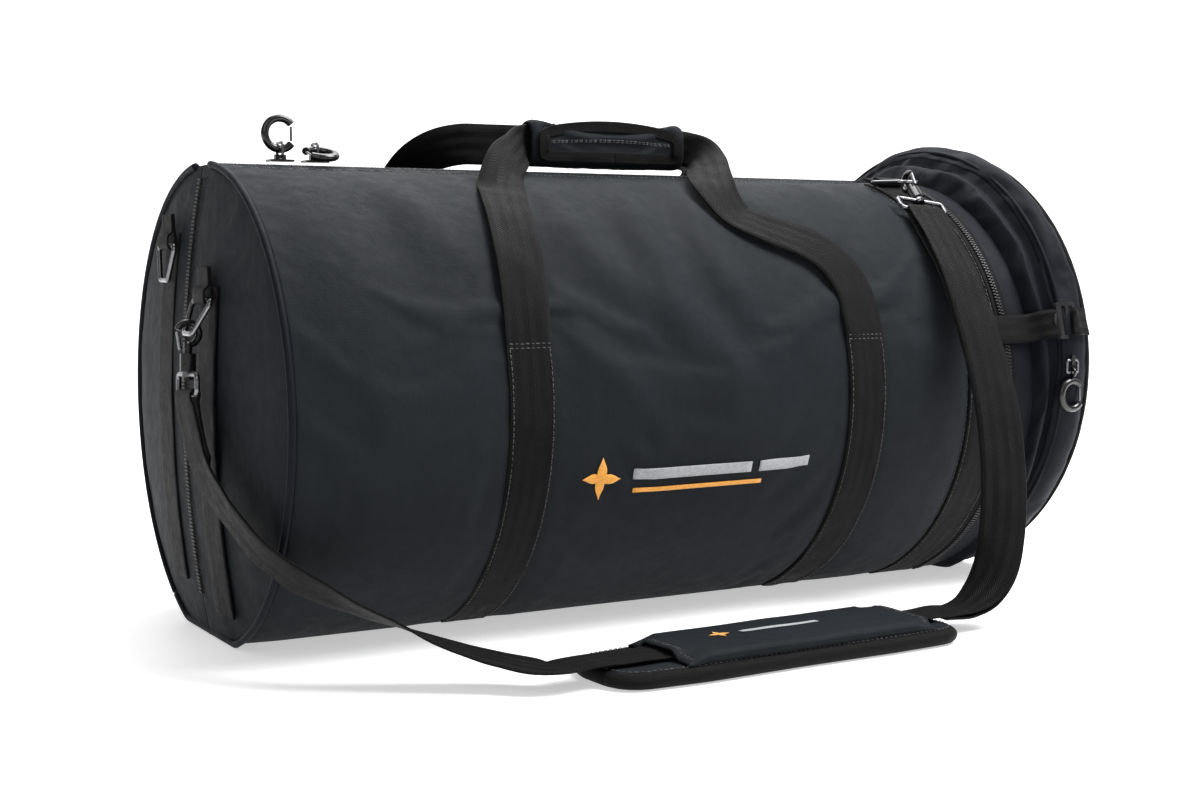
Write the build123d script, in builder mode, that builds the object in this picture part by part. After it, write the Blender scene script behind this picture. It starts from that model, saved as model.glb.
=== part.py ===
from build123d import *
import os
from math import asin, cos, degrees, radians, sin, sqrt

# Padded tube case lying on its side.
# X runs along the case, -Y is the front, +Z is up, the floor is z = 0.
# Angles called "a" are measured about the case axis, from the top towards the front.

case_radius = 191.0          # outside of the outer fabric
axis_z = 186.0               # height of the case axis above the floor
left_rim_x = -385.0          # seam where the left end meets the wall
dome_rise = 18.0             # how far the padded left end bulges
lid_right_x = 290.8          # right edge of the opening half
band_left_x = 291.2
band_right_x = 322.0
fabric_t = 1.4
foam_t = 15.0
lining_t = 1.0
base_t = 1.5                 # thick fabric sole
base_half_w = 46.0
webbing_w = 40.0
webbing_t = 2.2
webbing_out = case_radius + webbing_t

end_radius = 202.0           # loosely filled end section
end_axis_z = 204.5
end_left_x = 344.0
end_rim_x = 376.0
end_rise = 8.0

hinge_r = 194.0              # fold line of the opening half
hinge_a = -150.0
handle_x = (-193.0, 131.0)   # centres of the two handle legs
handle_a = 70.0              # where the handles are sewn
tooth_pitch = 5.0
ring_wire = 2.0

dome_r = (case_radius ** 2 + dome_rise ** 2) / (2 * dome_rise)
dome_x = left_rim_x - dome_rise + dome_r

os.makedirs("parts", exist_ok=True)


def on_case(x, a, r):
    return (x, -r * sin(radians(a)), axis_z + r * cos(radians(a)))


def radial(a):
    return (0, -sin(radians(a)), cos(radians(a)))


def core(inset, x0, x1, dome_inset):
    """Filled case shape, drawn in by inset, from x0 to x1, inside the domed left end."""
    with BuildPart() as c:
        with BuildSketch(Plane.YZ.offset(x0)):
            with Locations((0, axis_z)):
                Circle(case_radius - inset)
            with Locations((0, base_t + inset)):
                Rectangle(600, 400, align=(Align.CENTER, Align.MAX), mode=Mode.SUBTRACT)
        extrude(amount=x1 - x0)
        if x0 < left_rim_x:
            with Locations((dome_x, 0, axis_z)):
                Sphere(dome_r - dome_inset, mode=Mode.INTERSECT)
    return c.part


def lid_zone(shift):
    """The sector of the case that opens."""
    inner = (86.75, 35.7)
    outer = (101.0, 11.0)
    pts = [(0.2, 28), inner, outer, (500, 11), (500, 700), (0.2, 700)]
    with BuildPart() as z:
        with BuildSketch(Plane.YZ.offset(-500)):
            with BuildLine():
                Polyline(*[(y + shift, h + shift) for y, h in pts], close=True)
            make_face()
        extrude(amount=1200)
    return z.part


lid = lid_zone(0)
not_root = lid_zone(-0.4)


def arc_band(r0, r1, a0, a1, x0, x1, zc=axis_z):
    """Strip of cloth lying round the case between two angles."""
    with BuildPart() as band:
        with BuildSketch(Plane.YZ.offset(x0)):
            with BuildLine():
                o = CenterArc((0, zc), r1, 90 + a0, a1 - a0)
                i = CenterArc((0, zc), r0, 90 + a0, a1 - a0)
                Line(o @ 1, i @ 1)
                Line(i @ 0, o @ 0)
            make_face()
        extrude(amount=x1 - x0)
    return band.part


def cap_strip(y0, y1, z0, z1, t, r=dome_r, cx=dome_x):
    """Strip of cloth lying on the domed left end."""
    with BuildPart() as strip:
        with Locations(((-420 + dome_x - 700) / 2 - 0, (y0 + y1) / 2, (z0 + z1) / 2)):
            Box(abs(dome_x - 700 + 420), y1 - y0, z1 - z0)
        with Locations((cx, 0, axis_z)):
            Sphere(r + t, mode=Mode.INTERSECT)
            Sphere(r, mode=Mode.SUBTRACT)
    return strip.part


def cap_x(y, z, out=0.0):
    """Outside of the domed left end at a height."""
    return dome_x - sqrt((dome_r + out) ** 2 - y ** 2 - (z - axis_z) ** 2)


def webbing(stations, thick=webbing_t):
    """Flat strap through (point, outward normal, width) stations."""
    pts = [Vector(*p) for p, n, w in stations]
    with BuildPart() as strap:
        for k, (p, n, w) in enumerate(stations):
            along = pts[min(k + 1, len(pts) - 1)] - pts[max(k - 1, 0)]
            across = along.cross(Vector(*n))
            with BuildSketch(Plane(origin=p, x_dir=across, z_dir=along)):
                Rectangle(w, thick)
        loft(ruled=True)
    return strap.part


def wire_loop(plane, points, corner, r):
    """Closed ring of round wire."""
    with BuildPart() as ring:
        with BuildLine(plane) as path:
            FilletPolyline(*points, radius=corner, close=True)
        with BuildSketch(Plane(origin=path.wire() @ 0, z_dir=path.wire() % 0)):
            Circle(r)
        sweep(path=path.wire())
    return ring.part


def save(node, name):
    node.part.label = name
    export_step(node.part, "parts/" + name + ".step")


# ---------------------------------------------------------------- walls of the main tube
skin = (0.0, fabric_t)
foam = (fabric_t, fabric_t + foam_t)
lining = (fabric_t + foam_t, fabric_t + foam_t + lining_t)
inner_inset = lining[1]


def wall(layer, x0, x1):
    with BuildPart() as w:
        add(core(layer[0], x0, x1, fabric_t))
        add(core(layer[1], x0 - 1, x1 + 1, -5), mode=Mode.SUBTRACT)
    return w.part


def left_end(layer):
    with BuildPart() as e:
        outline = 0.0 if layer is skin else inner_inset
        add(core(outline, left_rim_x - 40, left_rim_x + 40, layer[0]))
        with Locations((dome_x, 0, axis_z)):
            Sphere(dome_r - layer[1], mode=Mode.SUBTRACT)
    return e.part


def keep_lid(part):
    with BuildPart() as k:
        add(part)
        add(lid, mode=Mode.INTERSECT)
    return k.part


def keep_root(part):
    with BuildPart() as k:
        add(part)
        add(not_root, mode=Mode.SUBTRACT)
    return k.part


with BuildPart() as front_shell_fabric:
    add(keep_root(wall(skin, left_rim_x - 40, lid_right_x)))
save(front_shell_fabric, "front_shell_fabric")

with BuildPart() as front_shell_foam:
    add(keep_root(wall(foam, left_rim_x - 40, lid_right_x)))
save(front_shell_foam, "front_shell_foam")

with BuildPart() as front_lining:
    add(keep_root(wall(lining, left_rim_x - 40, lid_right_x)))
    add(keep_root(left_end(lining)))
save(front_lining, "front_lining")

with BuildPart() as front_end_fabric:
    add(keep_root(left_end(skin)))
save(front_end_fabric, "front_end_fabric")

with BuildPart() as front_end_foam:
    add(keep_root(left_end(foam)))
save(front_end_foam, "front_end_foam")

with BuildPart() as base_sole:
    with Locations(((left_rim_x + 8 + band_right_x) / 2, 0, base_t / 2)):
        Box(band_right_x - left_rim_x - 8, 2 * base_half_w, base_t)
    fillet(base_sole.edges().filter_by(Axis.Z), radius=14)
save(base_sole, "base_sole")

with BuildPart() as rear_shell_fabric:
    add(keep_lid(wall(skin, left_rim_x - 40, lid_right_x)))
save(rear_shell_fabric, "rear_shell_fabric")

with BuildPart() as rear_shell_foam:
    add(keep_lid(wall(foam, left_rim_x - 40, lid_right_x)))
save(rear_shell_foam, "rear_shell_foam")

with BuildPart() as rear_lining:
    add(keep_lid(wall(lining, left_rim_x - 40, lid_right_x)))
    add(keep_lid(left_end(lining)))
save(rear_lining, "rear_lining")

with BuildPart() as rear_end_fabric:
    add(keep_lid(left_end(skin)))
save(rear_end_fabric, "rear_end_fabric")

with BuildPart() as rear_end_foam:
    add(keep_lid(left_end(foam)))
save(rear_end_foam, "rear_end_foam")

# ---------------------------------------------------------------- band between the end zip and the gusset
with BuildPart() as end_band_fabric:
    add(wall(skin, band_left_x, band_right_x))
save(end_band_fabric, "end_band_fabric")

with BuildPart() as end_band_foam:
    add(wall(foam, band_left_x, band_right_x))
    add(wall(lining, band_left_x, band_right_x))
save(end_band_foam, "end_band_foam")

# ---------------------------------------------------------------- cord piping round the left end
piping_r = 3.2


def left_piping():
    with BuildPart() as p:
        with Locations(Location((left_rim_x - 0.5, 0, axis_z), (0, 90, 0))):
            Torus(case_radius + 0.8, piping_r)
        add(core(-0.02, left_rim_x - 60, left_rim_x + 60, -0.02), mode=Mode.SUBTRACT)
        with Locations((left_rim_x, 0, 0.6)):
            Box(80, 500, 100, align=(Align.CENTER, Align.CENTER, Align.MAX), mode=Mode.SUBTRACT)
        with Locations((left_rim_x, 0, axis_z)):
            Box(80, 32, 500, align=(Align.CENTER, Align.CENTER, Align.MIN), mode=Mode.SUBTRACT)
    return p.part


with BuildPart() as end_piping_front:
    add(keep_root(left_piping()))
save(end_piping_front, "end_piping_front")

with BuildPart() as end_piping_rear:
    add(keep_lid(left_piping()))
save(end_piping_rear, "end_piping_rear")

# ---------------------------------------------------------------- main zip along the top and down the left end
tape_t = 0.8
tape_w = 15.0
tape_a = tape_w / case_radius * 57.2958
top_z = axis_z + case_radius
tooth_lo = top_z + tape_t
tooth_hi = tooth_lo + 1.6
teeth_x0 = left_rim_x + 8
teeth_n = 131
cap_teeth_n = 66


def zip_tape(side):
    with BuildPart() as tape:
        a0, a1 = (0.15, tape_a) if side > 0 else (-tape_a, -0.15)
        add(arc_band(case_radius, case_radius + tape_t, a0, a1, left_rim_x + 1, 279))
        w0, w1 = (tape_a, 2 * tape_a) if side > 0 else (-2 * tape_a, -tape_a)
        add(arc_band(case_radius, case_radius + 1.5, w0, w1, left_rim_x + 3, 243.5))
        y0, y1 = (-tape_w, -0.4) if side > 0 else (0.4, tape_w)
        add(cap_strip(y0, y1, 32, 368, tape_t))
    return tape.part


def zip_teeth(side):
    with BuildPart() as teeth:
        shift = 0.0 if side > 0 else tooth_pitch / 2
        where = [(teeth_x0 + shift + tooth_pitch * k, -side * 1.4, (tooth_lo + tooth_hi) / 2)
                 for k in range(teeth_n)]
        with Locations(*where):
            Box(1.9, 3.8, tooth_hi - tooth_lo)
        for k in range(cap_teeth_n):
            z = 38 + tooth_pitch * k
            with Locations((cap_x(0, z, tape_t) - 1.1, -side * 1.9, z)):
                Box(1.7, 3.0, 2.4)
    return teeth.part


with BuildPart() as main_zip_tape_front:
    add(zip_tape(1))
save(main_zip_tape_front, "main_zip_tape_front")

with BuildPart() as main_zip_tape_rear:
    add(zip_tape(-1))
save(main_zip_tape_rear, "main_zip_tape_rear")

with BuildPart() as main_zip_teeth_front:
    add(zip_teeth(1))
save(main_zip_teeth_front, "main_zip_teeth_front")

with BuildPart() as main_zip_teeth_rear:
    add(zip_teeth(-1))
save(main_zip_teeth_rear, "main_zip_teeth_rear")

# ---------------------------------------------------------------- end zip round the tube
end_zip_teeth_step = 2.5


def end_zip(x0, x1, a0, a1, tooth_x):
    """Tape with a row of teeth standing on it."""
    with BuildPart() as z:
        add(arc_band(case_radius, case_radius + tape_t, a0, a1, x0, x1))
        count = int((a1 - a0 - 3) / end_zip_teeth_step)
        for k in range(count):
            a = a0 + 2 + k * end_zip_teeth_step
            add(arc_band(case_radius + tape_t, case_radius + tape_t + 1.6, a, a + 1.2,
                         tooth_x - 1.3, tooth_x + 1.3))
    return z.part


with BuildPart() as end_zip_lid_side:
    add(end_zip(284, lid_right_x, -144, -8, lid_right_x - 1.5))
save(end_zip_lid_side, "end_zip_lid_side")

with BuildPart() as end_zip_case_side:
    add(end_zip(band_left_x, 299, -162, 162, band_left_x + 1.5))
    add(end_zip(284, lid_right_x, 8, 162, lid_right_x - 1.5))
save(end_zip_case_side, "end_zip_case_side")

# ---------------------------------------------------------------- sewn webbing on the tube
with BuildPart() as front_handle_anchors:
    for x in handle_x:
        add(arc_band(case_radius, webbing_out, handle_a + 1.4, 161, x - webbing_w / 2, x + webbing_w / 2))
save(front_handle_anchors, "front_handle_anchors")

with BuildPart() as rear_handle_anchors:
    for x in handle_x:
        add(arc_band(case_radius, webbing_out, -144, -handle_a - 1.4, x - webbing_w / 2, x + webbing_w / 2))
save(rear_handle_anchors, "rear_handle_anchors")

collar_x = (244.0, 283.6)
collar_mid = 263.0
ring_a = 16.5                # where the collar rings are held
ring_r = 197.4               # distance of the held bar from the case axis


def collar(a0, a1, side):
    """Collar webbing with a folded tab that holds a ring at its upper end."""
    with BuildPart() as c:
        bar = Plane(origin=on_case(collar_mid - 14, side * ring_a, ring_r), x_dir=(0, 0, 1), z_dir=(1, 0, 0))
        with BuildSketch(bar):
            Circle(4.2)
        extrude(amount=28)
        add(core(-webbing_t, collar_x[0] - 5, collar_x[1] + 5, 0), mode=Mode.SUBTRACT)
        with BuildSketch(Plane(bar.origin - Vector(1, 0, 0), x_dir=(0, 0, 1), z_dir=(1, 0, 0))):
            Circle(ring_wire + 0.35)
        extrude(amount=30, mode=Mode.SUBTRACT)
        add(arc_band(case_radius, webbing_out, a0, a1, *collar_x))
    return c.part


with BuildPart() as collar_front:
    add(collar(13, 161, 1))
save(collar_front, "collar_front")

with BuildPart() as collar_rear:
    add(collar(-144, -13, -1))
save(collar_rear, "collar_rear")

cap_strip_y = (-55.0, 50.0)
cap_bar_z = (272.0, 314.0)
bar_out = 7.5                # bar centre outside the domed end


def cap_webbing(y, z_lo, bar_z):
    with BuildPart() as c:
        add(cap_strip(y - webbing_w / 2, y + webbing_w / 2, z_lo, bar_z + 10, webbing_t))
        x = cap_x(y, bar_z, bar_out)
        with Locations(Location((x, y, bar_z), (90, 0, 0))):
            Cylinder(4.2, 28)
        with Locations((x + 6, y, bar_z + 1.5)):
            Box(12, 28, 5)
        with Locations((dome_x, 0, axis_z)):
            Sphere(dome_r - 0.02, mode=Mode.SUBTRACT)
        with Locations(Location((x, y, bar_z), (90, 0, 0))):
            Cylinder(ring_wire + 0.35, 60, mode=Mode.SUBTRACT)
    return c.part


with BuildPart() as end_strip_front:
    add(cap_webbing(cap_strip_y[0], 26, cap_bar_z[0]))
save(end_strip_front, "end_strip_front")

with BuildPart() as end_strip_rear:
    add(cap_webbing(cap_strip_y[1], 42, cap_bar_z[1]))
save(end_strip_rear, "end_strip_rear")

# ---------------------------------------------------------------- strap rings
ring_top = 23.0
ring_low = 10.0
ring_h = 28.0
ring_shape = [(-ring_top, 0), (ring_top, 0), (ring_low, -ring_h), (-ring_low, -ring_h)]


def end_ring(y, bar_z, lean):
    """Ring hanging just outside the left end, leaning outwards."""
    down = Vector(-sin(radians(lean)), 0, -cos(radians(lean)))
    plane = Plane(origin=(cap_x(y, bar_z, bar_out), y, bar_z), x_dir=(0, 1, 0),
                  z_dir=Vector(0, 1, 0).cross(-down))
    return wire_loop(plane, ring_shape, 3.5, ring_wire)


def collar_ring(side, droop):
    """Ring reaching down from the collar tab."""
    down = Vector(0, -side * cos(radians(droop)), -sin(radians(droop)))
    plane = Plane(origin=on_case(collar_mid, side * ring_a, ring_r), x_dir=(1, 0, 0),
                  z_dir=Vector(1, 0, 0).cross(-down))
    return wire_loop(plane, ring_shape, 3.5, ring_wire)


left_lean = 25.0
right_droop = 0.0

with BuildPart() as front_strap_rings:
    add(end_ring(cap_strip_y[0], cap_bar_z[0], left_lean))
    add(collar_ring(1, right_droop))
save(front_strap_rings, "front_strap_rings")

with BuildPart() as end_ring_rear:
    add(end_ring(cap_strip_y[1], cap_bar_z[1], 6))
save(end_ring_rear, "end_ring_rear")

with BuildPart() as collar_ring_rear:
    add(collar_ring(-1, 20))
save(collar_ring_rear, "collar_ring_rear")

# ---------------------------------------------------------------- carrying handles
leg_r = case_radius + 3.6
left_leg_a = (70.6, 63, 55, 47, 39, 31, 25)
right_leg = ((handle_x[1], 70.6), (129.2, 63.5), (124, 58), (115, 53.2), (101, 49.2), (84, 46.2), (66, 43.6),
             (52, 40.6), (42, 37))
grip_x = (-96.0, 59.0)
grip_z = (384.0, 425.0)
grip_y = 13.0
grip_mid_z = 404.5


def leg(x_low, x_high, angles):
    """Stations up the side of the tube, drifting from x_low to x_high."""
    n = len(angles) - 1
    return [(on_case(x_low + (x_high - x_low) * (k / n) ** 2, a, leg_r), radial(a), webbing_w)
            for k, a in enumerate(angles)]


front_path = leg(handle_x[0], -163, left_leg_a)
front_path += [((-146, -58, 383), (0.42, -0.62, 0.66), 38), ((-124, -34, 394), (0.42, -0.8, 0.42), 35),
               ((grip_x[0] - 2, -0.2, grip_mid_z), (0.05, -1, 0), 32), ((-80, 0, grip_mid_z), (0, -1, 0), 32),
               ((44, 0, grip_mid_z), (0, -1, 0), 32), ((grip_x[1] + 2, -0.2, grip_mid_z), (0, -1, 0), 32)]
# the other leg hangs slack: forward over the tube first, then along it to its anchor
front_path += [((grip_x[1] + 7, -1, 404.3), (-0.12, -1, 0), 32), ((72, -18, 399), (-0.75, -0.6, 0.3), 34),
               ((62, -45, 389), (-0.55, -0.3, 0.78), 37),
               ((46, -74, 377.5), (-0.3, -0.33, 0.9), 39), ((37, -99, 363.5), (-0.1, -0.5, 0.86), 40)]
front_path += [(on_case(x, a, leg_r), radial(a), webbing_w) for x, a in right_leg[::-1]]

with BuildPart() as front_handle:
    add(webbing(front_path))
save(front_handle, "front_handle")

with BuildPart() as grip_wrap:
    with Locations(((grip_x[0] + grip_x[1]) / 2, 0, sum(grip_z) / 2)):
        Box(grip_x[1] - grip_x[0], 2 * grip_y, grip_z[1] - grip_z[0])
        fillet(grip_wrap.edges().filter_by(Axis.X), radius=9)
        Box(400, 4.6, 34.4, mode=Mode.SUBTRACT)
save(grip_wrap, "grip_wrap")

with BuildPart() as grip_flap:
    with BuildSketch(Plane(origin=(-18.5, -grip_y - 0.4, 406.5), x_dir=(1, 0, 0), z_dir=(0, -1, 0))) as flap:
        Rectangle(146, 36)
        fillet(flap.vertices().group_by(Axis.Z)[-1], radius=14)
    extrude(amount=2.6)
save(grip_flap, "grip_flap")

rear_path = [(on_case(handle_x[0] + k * k * 0.35, -a, leg_r), radial(-a), webbing_w)
             for k, a in enumerate((70.6, 63, 55, 47, 39, 31))]
rear_path += [((-181, 74, 378), (0.2, 0.5, 0.84), 39), ((-170, 54, 394), (0.5, 0.7, 0.5), 36),
              ((-148, 38, 403), (0.5, 0.86, 0.1), 34), ((-110, 31, 404), (0.1, 1, 0), 34),
              ((50, 31, 404), (0, 1, 0), 34), ((88, 37, 405), (-0.5, 0.86, 0.1), 34),
              ((112, 55, 398), (-0.6, 0.6, 0.45), 36), ((122, 78, 380), (-0.25, 0.5, 0.83), 39)]
rear_path += [(on_case(handle_x[1] - k * k * 0.35, -a, leg_r), radial(-a), webbing_w)
              for k, a in enumerate((70.6, 63, 55, 47, 39, 31))][::-1]

with BuildPart() as rear_handle:
    add(webbing(rear_path))
save(rear_handle, "rear_handle")

# ---------------------------------------------------------------- zip sliders, pulls and clip hooks
slider_x = {"a": -322.0, "b": -292.0}
plate_z = 381.8
pull_pin_z = 385.8
pull_wire = 1.2
pull_h = 11.4
hook_r = 12.5
hook_tube = 3.2
hook_gap = 40.0
link_z = pull_pin_z + 6.2
gate_wire = 1.0
gate_reach = 5.9
nose_x = hook_r * cos(radians(hook_gap))


def slider(plane, length, pin_h):
    """Zip slider: plate and a crown with a cross hole. Local z points out of the cloth."""
    with BuildPart() as body:
        with Locations(plane):
            with Locations((0, 0, 0.9)):
                Box(length, 13, 1.8)
            with Locations((0, 0, (1.8 + pin_h + 1.8) / 2)):
                Box(9, 4, pin_h)
            with Locations(Location((0, 0, pin_h), (90, 0, 0))):
                Cylinder(pull_wire + 0.35, 20, mode=Mode.SUBTRACT)
    return body.part


def pull(plane):
    """Wire link through the crown. Local x is the pin, local y points away from it."""
    return wire_loop(plane, [(-6.6, 0), (6.6, 0), (6.6, pull_h), (-6.6, pull_h)], 2.2, pull_wire)


def c_hook(plane):
    """Open hook of thick round section. Local origin is its centre, the mouth faces local +x."""
    with BuildPart() as hook:
        with BuildLine(plane) as path:
            CenterArc((0, 0), hook_r, hook_gap, 360 - 2 * hook_gap)
        with BuildSketch(Plane(origin=path.wire() @ 0, z_dir=path.wire() % 0)):
            Circle(hook_tube)
        sweep(path=path.wire())
    return hook.part


def c_gate(plane):
    """Straight wire gate across the mouth of the hook."""
    with BuildPart() as gate:
        with BuildLine(plane) as path:
            Line((nose_x, -gate_reach), (nose_x, gate_reach))
        with BuildSketch(Plane(origin=path.wire() @ 0, z_dir=path.wire() % 0)):
            Circle(gate_wire)
        sweep(path=path.wire())
    return gate.part


flop = radians(17)
hook_plane = {
    "a": Plane(origin=(slider_x["a"], 0, link_z + hook_r), x_dir=(1, 0, 0), z_dir=(0, -1, 0)),
    "b": Plane(origin=(slider_x["b"], -hook_r * cos(flop), link_z - hook_r * sin(flop)),
               x_dir=(-1, 0, 0), z_dir=Vector(-1, 0, 0).cross(Vector(0, cos(flop), sin(flop)))),
}

with BuildPart() as zip_slider_a:
    add(slider(Plane(origin=(slider_x["a"], 0, plate_z)), 20, pull_pin_z - plate_z))
save(zip_slider_a, "zip_slider_a")

with BuildPart() as zip_slider_b:
    add(slider(Plane(origin=(slider_x["b"], 0, plate_z)), 20, pull_pin_z - plate_z))
save(zip_slider_b, "zip_slider_b")

with BuildPart() as zip_pull_a:
    add(pull(Plane(origin=(slider_x["a"], 0, pull_pin_z), x_dir=(0, 1, 0), z_dir=(1, 0, 0))))
save(zip_pull_a, "zip_pull_a")

with BuildPart() as zip_pull_b:
    add(pull(Plane(origin=(slider_x["b"], 0, pull_pin_z), x_dir=(0, 1, 0), z_dir=(1, 0, 0))))
save(zip_pull_b, "zip_pull_b")

with BuildPart() as clip_hook_a:
    add(c_hook(hook_plane["a"]))
save(clip_hook_a, "clip_hook_a")

with BuildPart() as clip_hook_b:
    add(c_hook(hook_plane["b"]))
save(clip_hook_b, "clip_hook_b")

with BuildPart() as clip_gate_a:
    add(c_gate(hook_plane["a"]))
save(clip_gate_a, "clip_gate_a")

with BuildPart() as clip_gate_b:
    add(c_gate(hook_plane["b"]))
save(clip_gate_b, "clip_gate_b")

# ---------------------------------------------------------------- loose end section and its gusset
end_foam_t = 12.0


def end_core(inset, x0):
    r = end_radius - inset
    rim, tip = end_rim_x - inset, end_rim_x + end_rise - inset
    with BuildPart() as c:
        with BuildSketch(Plane(origin=(0, 0, end_axis_z), x_dir=(1, 0, 0), z_dir=(0, -1, 0))):
            with BuildLine():
                Polyline((tip, 0), (x0, 0), (x0, r), (rim, r))
                Bezier((rim, r), (tip, r / 2), (tip, 0))
            make_face()
        revolve(axis=Axis((0, 0, end_axis_z), (1, 0, 0)))
    return c.part


with BuildPart() as gusset:
    with BuildSketch(Plane.YZ.offset(band_right_x + 0.05)):
        with Locations((0, axis_z)):
            Circle(case_radius - 6.5)
    with BuildSketch(Plane.YZ.offset(end_left_x - 0.1)):
        with Locations((0, end_axis_z)):
            Circle(end_radius - 3.0)
    loft()
    with BuildSketch(Plane.YZ.offset(band_right_x + 0.05)):
        with Locations((0, axis_z)):
            Circle(case_radius - 8.0)
    with BuildSketch(Plane.YZ.offset(end_left_x - 0.1)):
        with Locations((0, end_axis_z)):
            Circle(end_radius - 4.5)
    loft(mode=Mode.SUBTRACT)
save(gusset, "gusset")

lock_z = 247.0
lock_x = 351.0
lock_y = sqrt(end_radius ** 2 - (lock_z - end_axis_z) ** 2) + 1.6
lock_pin_x = 361.0


with BuildPart() as end_section_fabric:
    add(end_core(0, end_left_x))
    add(end_core(fabric_t, end_left_x - 1), mode=Mode.SUBTRACT)
    with Locations(Location((end_rim_x, 0, end_axis_z), (0, 90, 0))):
        Torus(end_radius - 1, 2.6)
    add(end_core(fabric_t, end_left_x - 1), mode=Mode.SUBTRACT)
    for side in (1, -1):
        with Locations((368, -side * (lock_y - 0.6), lock_z - 0.6)):
            Box(10, 2.2, 26)
    add(end_core(fabric_t, end_left_x - 1), mode=Mode.SUBTRACT)
save(end_section_fabric, "end_section_fabric")

with BuildPart() as end_section_foam:
    add(end_core(fabric_t, end_left_x))
    add(end_core(fabric_t + end_foam_t, end_left_x - 1), mode=Mode.SUBTRACT)
save(end_section_foam, "end_section_foam")


def lock(side):
    """Ladder-lock buckle with a rounded thumb tab."""
    lean = degrees(asin((lock_z - end_axis_z) / end_radius))
    normal = (0, -side * cos(radians(lean)), sin(radians(lean)))
    face = Plane(origin=(lock_x, -side * (lock_y + 0.6), lock_z), x_dir=(1, 0, 0), z_dir=normal)
    with BuildPart() as body:
        with BuildSketch(face):
            RectangleRounded(24, 34, 4)
            with Locations((-8, 0)):
                Ellipse(8, 9)
            with Locations((-3.2, 0), (5.6, 0)):
                Rectangle(4.6, 27, mode=Mode.SUBTRACT)
        extrude(amount=4.0)
    return body.part


with BuildPart() as ladder_lock_front:
    add(lock(1))
save(ladder_lock_front, "ladder_lock_front")

with BuildPart() as ladder_lock_rear:
    add(lock(-1))
save(ladder_lock_rear, "ladder_lock_rear")

with BuildPart() as compression_straps:
    for side, x_start in ((1, 252.0), (-1, 301.0)):
        out = (0, -side * 0.95, 0.3)
        add(webbing([((x_start, -side * 187.4, 240), out, 26), ((300 + (side < 0) * 6, -side * 187.6, 240), out, 26),
                     ((320, -side * 189.5, 241.5), out, 26), ((333.5, -side * 201.9, 246), out, 26)], 1.8))
save(compression_straps, "compression_straps")

slider_c_a = 88.0
slider_c_x = 352.0
pin_c_h = 7.6
pin_c = end_radius + 0.5 + pin_c_h
ca, sa = cos(radians(slider_c_a)), sin(radians(slider_c_a))
pin_c_y, pin_c_z = -pin_c * sa, end_axis_z + pin_c * ca
eye_z = pin_c_z - pull_h
hook_c_z = eye_z - 3.6 - 1.0 - hook_tube - hook_r

with BuildPart() as zip_slider_c:
    add(slider(Plane(origin=(slider_c_x, -(end_radius + 0.5) * sa, end_axis_z + (end_radius + 0.5) * ca),
                     x_dir=(0, -ca, -sa), z_dir=(0, -sa, ca)), 16, pin_c_h))
save(zip_slider_c, "zip_slider_c")

with BuildPart() as zip_pull_c:
    add(pull(Plane(origin=(slider_c_x, pin_c_y, pin_c_z), x_dir=(-1, 0, 0), z_dir=(0, -1, 0))))
save(zip_pull_c, "zip_pull_c")

hook_plane_c = Plane(origin=(slider_c_x, pin_c_y, hook_c_z), x_dir=(1, 0, 0), z_dir=(0, -1, 0))

with BuildPart() as clip_hook_c:
    add(c_hook(hook_plane_c))
    with Locations(Location((slider_c_x, pin_c_y, eye_z), (0, 90, 0))):
        Torus(3.6, 1.4)
save(clip_hook_c, "clip_hook_c")

with BuildPart() as clip_gate_c:
    add(c_gate(hook_plane_c))
save(clip_gate_c, "clip_gate_c")

# ---------------------------------------------------------------- shoulder strap
snap_r = 8.5
snap_tube = 2.6
lean_v = Vector(-sin(radians(left_lean)), 0, -cos(radians(left_lean)))
ring_l = Vector(cap_x(cap_strip_y[0], cap_bar_z[0], bar_out), cap_strip_y[0], cap_bar_z[0]) + lean_v * ring_h
ring_r_v = Vector(*on_case(collar_mid, ring_a, ring_r)) + Vector(0, -1, 0) * ring_h
stem_l = Vector(-0.04, -0.05, -1).normalized()
stem_r = Vector(-0.22, -0.77, -0.6).normalized()


def snap_plane(centre, stem, bar):
    """Local -y runs down the stem, local z is the ring bar."""
    return Plane(origin=centre, x_dir=(-stem).cross(Vector(*bar)), z_dir=(-stem).cross(Vector(*bar)).cross(-stem))


plane_l = snap_plane(ring_l, stem_l, (0, 1, 0))
plane_r = snap_plane(ring_r_v, stem_r, (-1, 0, 0))


def post(plane, r, y0, y1):
    """Round post down the stem."""
    with BuildPart() as p:
        with BuildSketch(Plane(origin=plane.from_local_coords(Vector(0, y0, 0)), z_dir=-plane.y_dir)):
            Circle(r)
        extrude(amount=y0 - y1)
    return p.part


def snap_hook(plane):
    with BuildPart() as hook:
        with BuildLine(plane) as path:
            CenterArc((0, 0), snap_r, 20, 250)
        with BuildSketch(Plane(origin=path.wire() @ 0, z_dir=path.wire() % 0)):
            Circle(snap_tube)
        sweep(path=path.wire())
        add(post(plane, 3.2, -7.2, -16))
        add(post(plane, 6.0, -15, -28.6))
        add(post(plane, 2.3, -28, -34))
        add(post(plane, 4.0, -33.4, -35.2))
    return hook.part


def snap_gate(plane):
    with BuildPart() as gate:
        with BuildLine(plane) as path:
            Line((8.4, 1.2), (6.0, -12.6))
        with BuildSketch(Plane(origin=path.wire() @ 0, z_dir=path.wire() % 0)):
            Circle(1.5)
        sweep(path=path.wire())
    return gate.part


swivel_bar = -46.0


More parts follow.
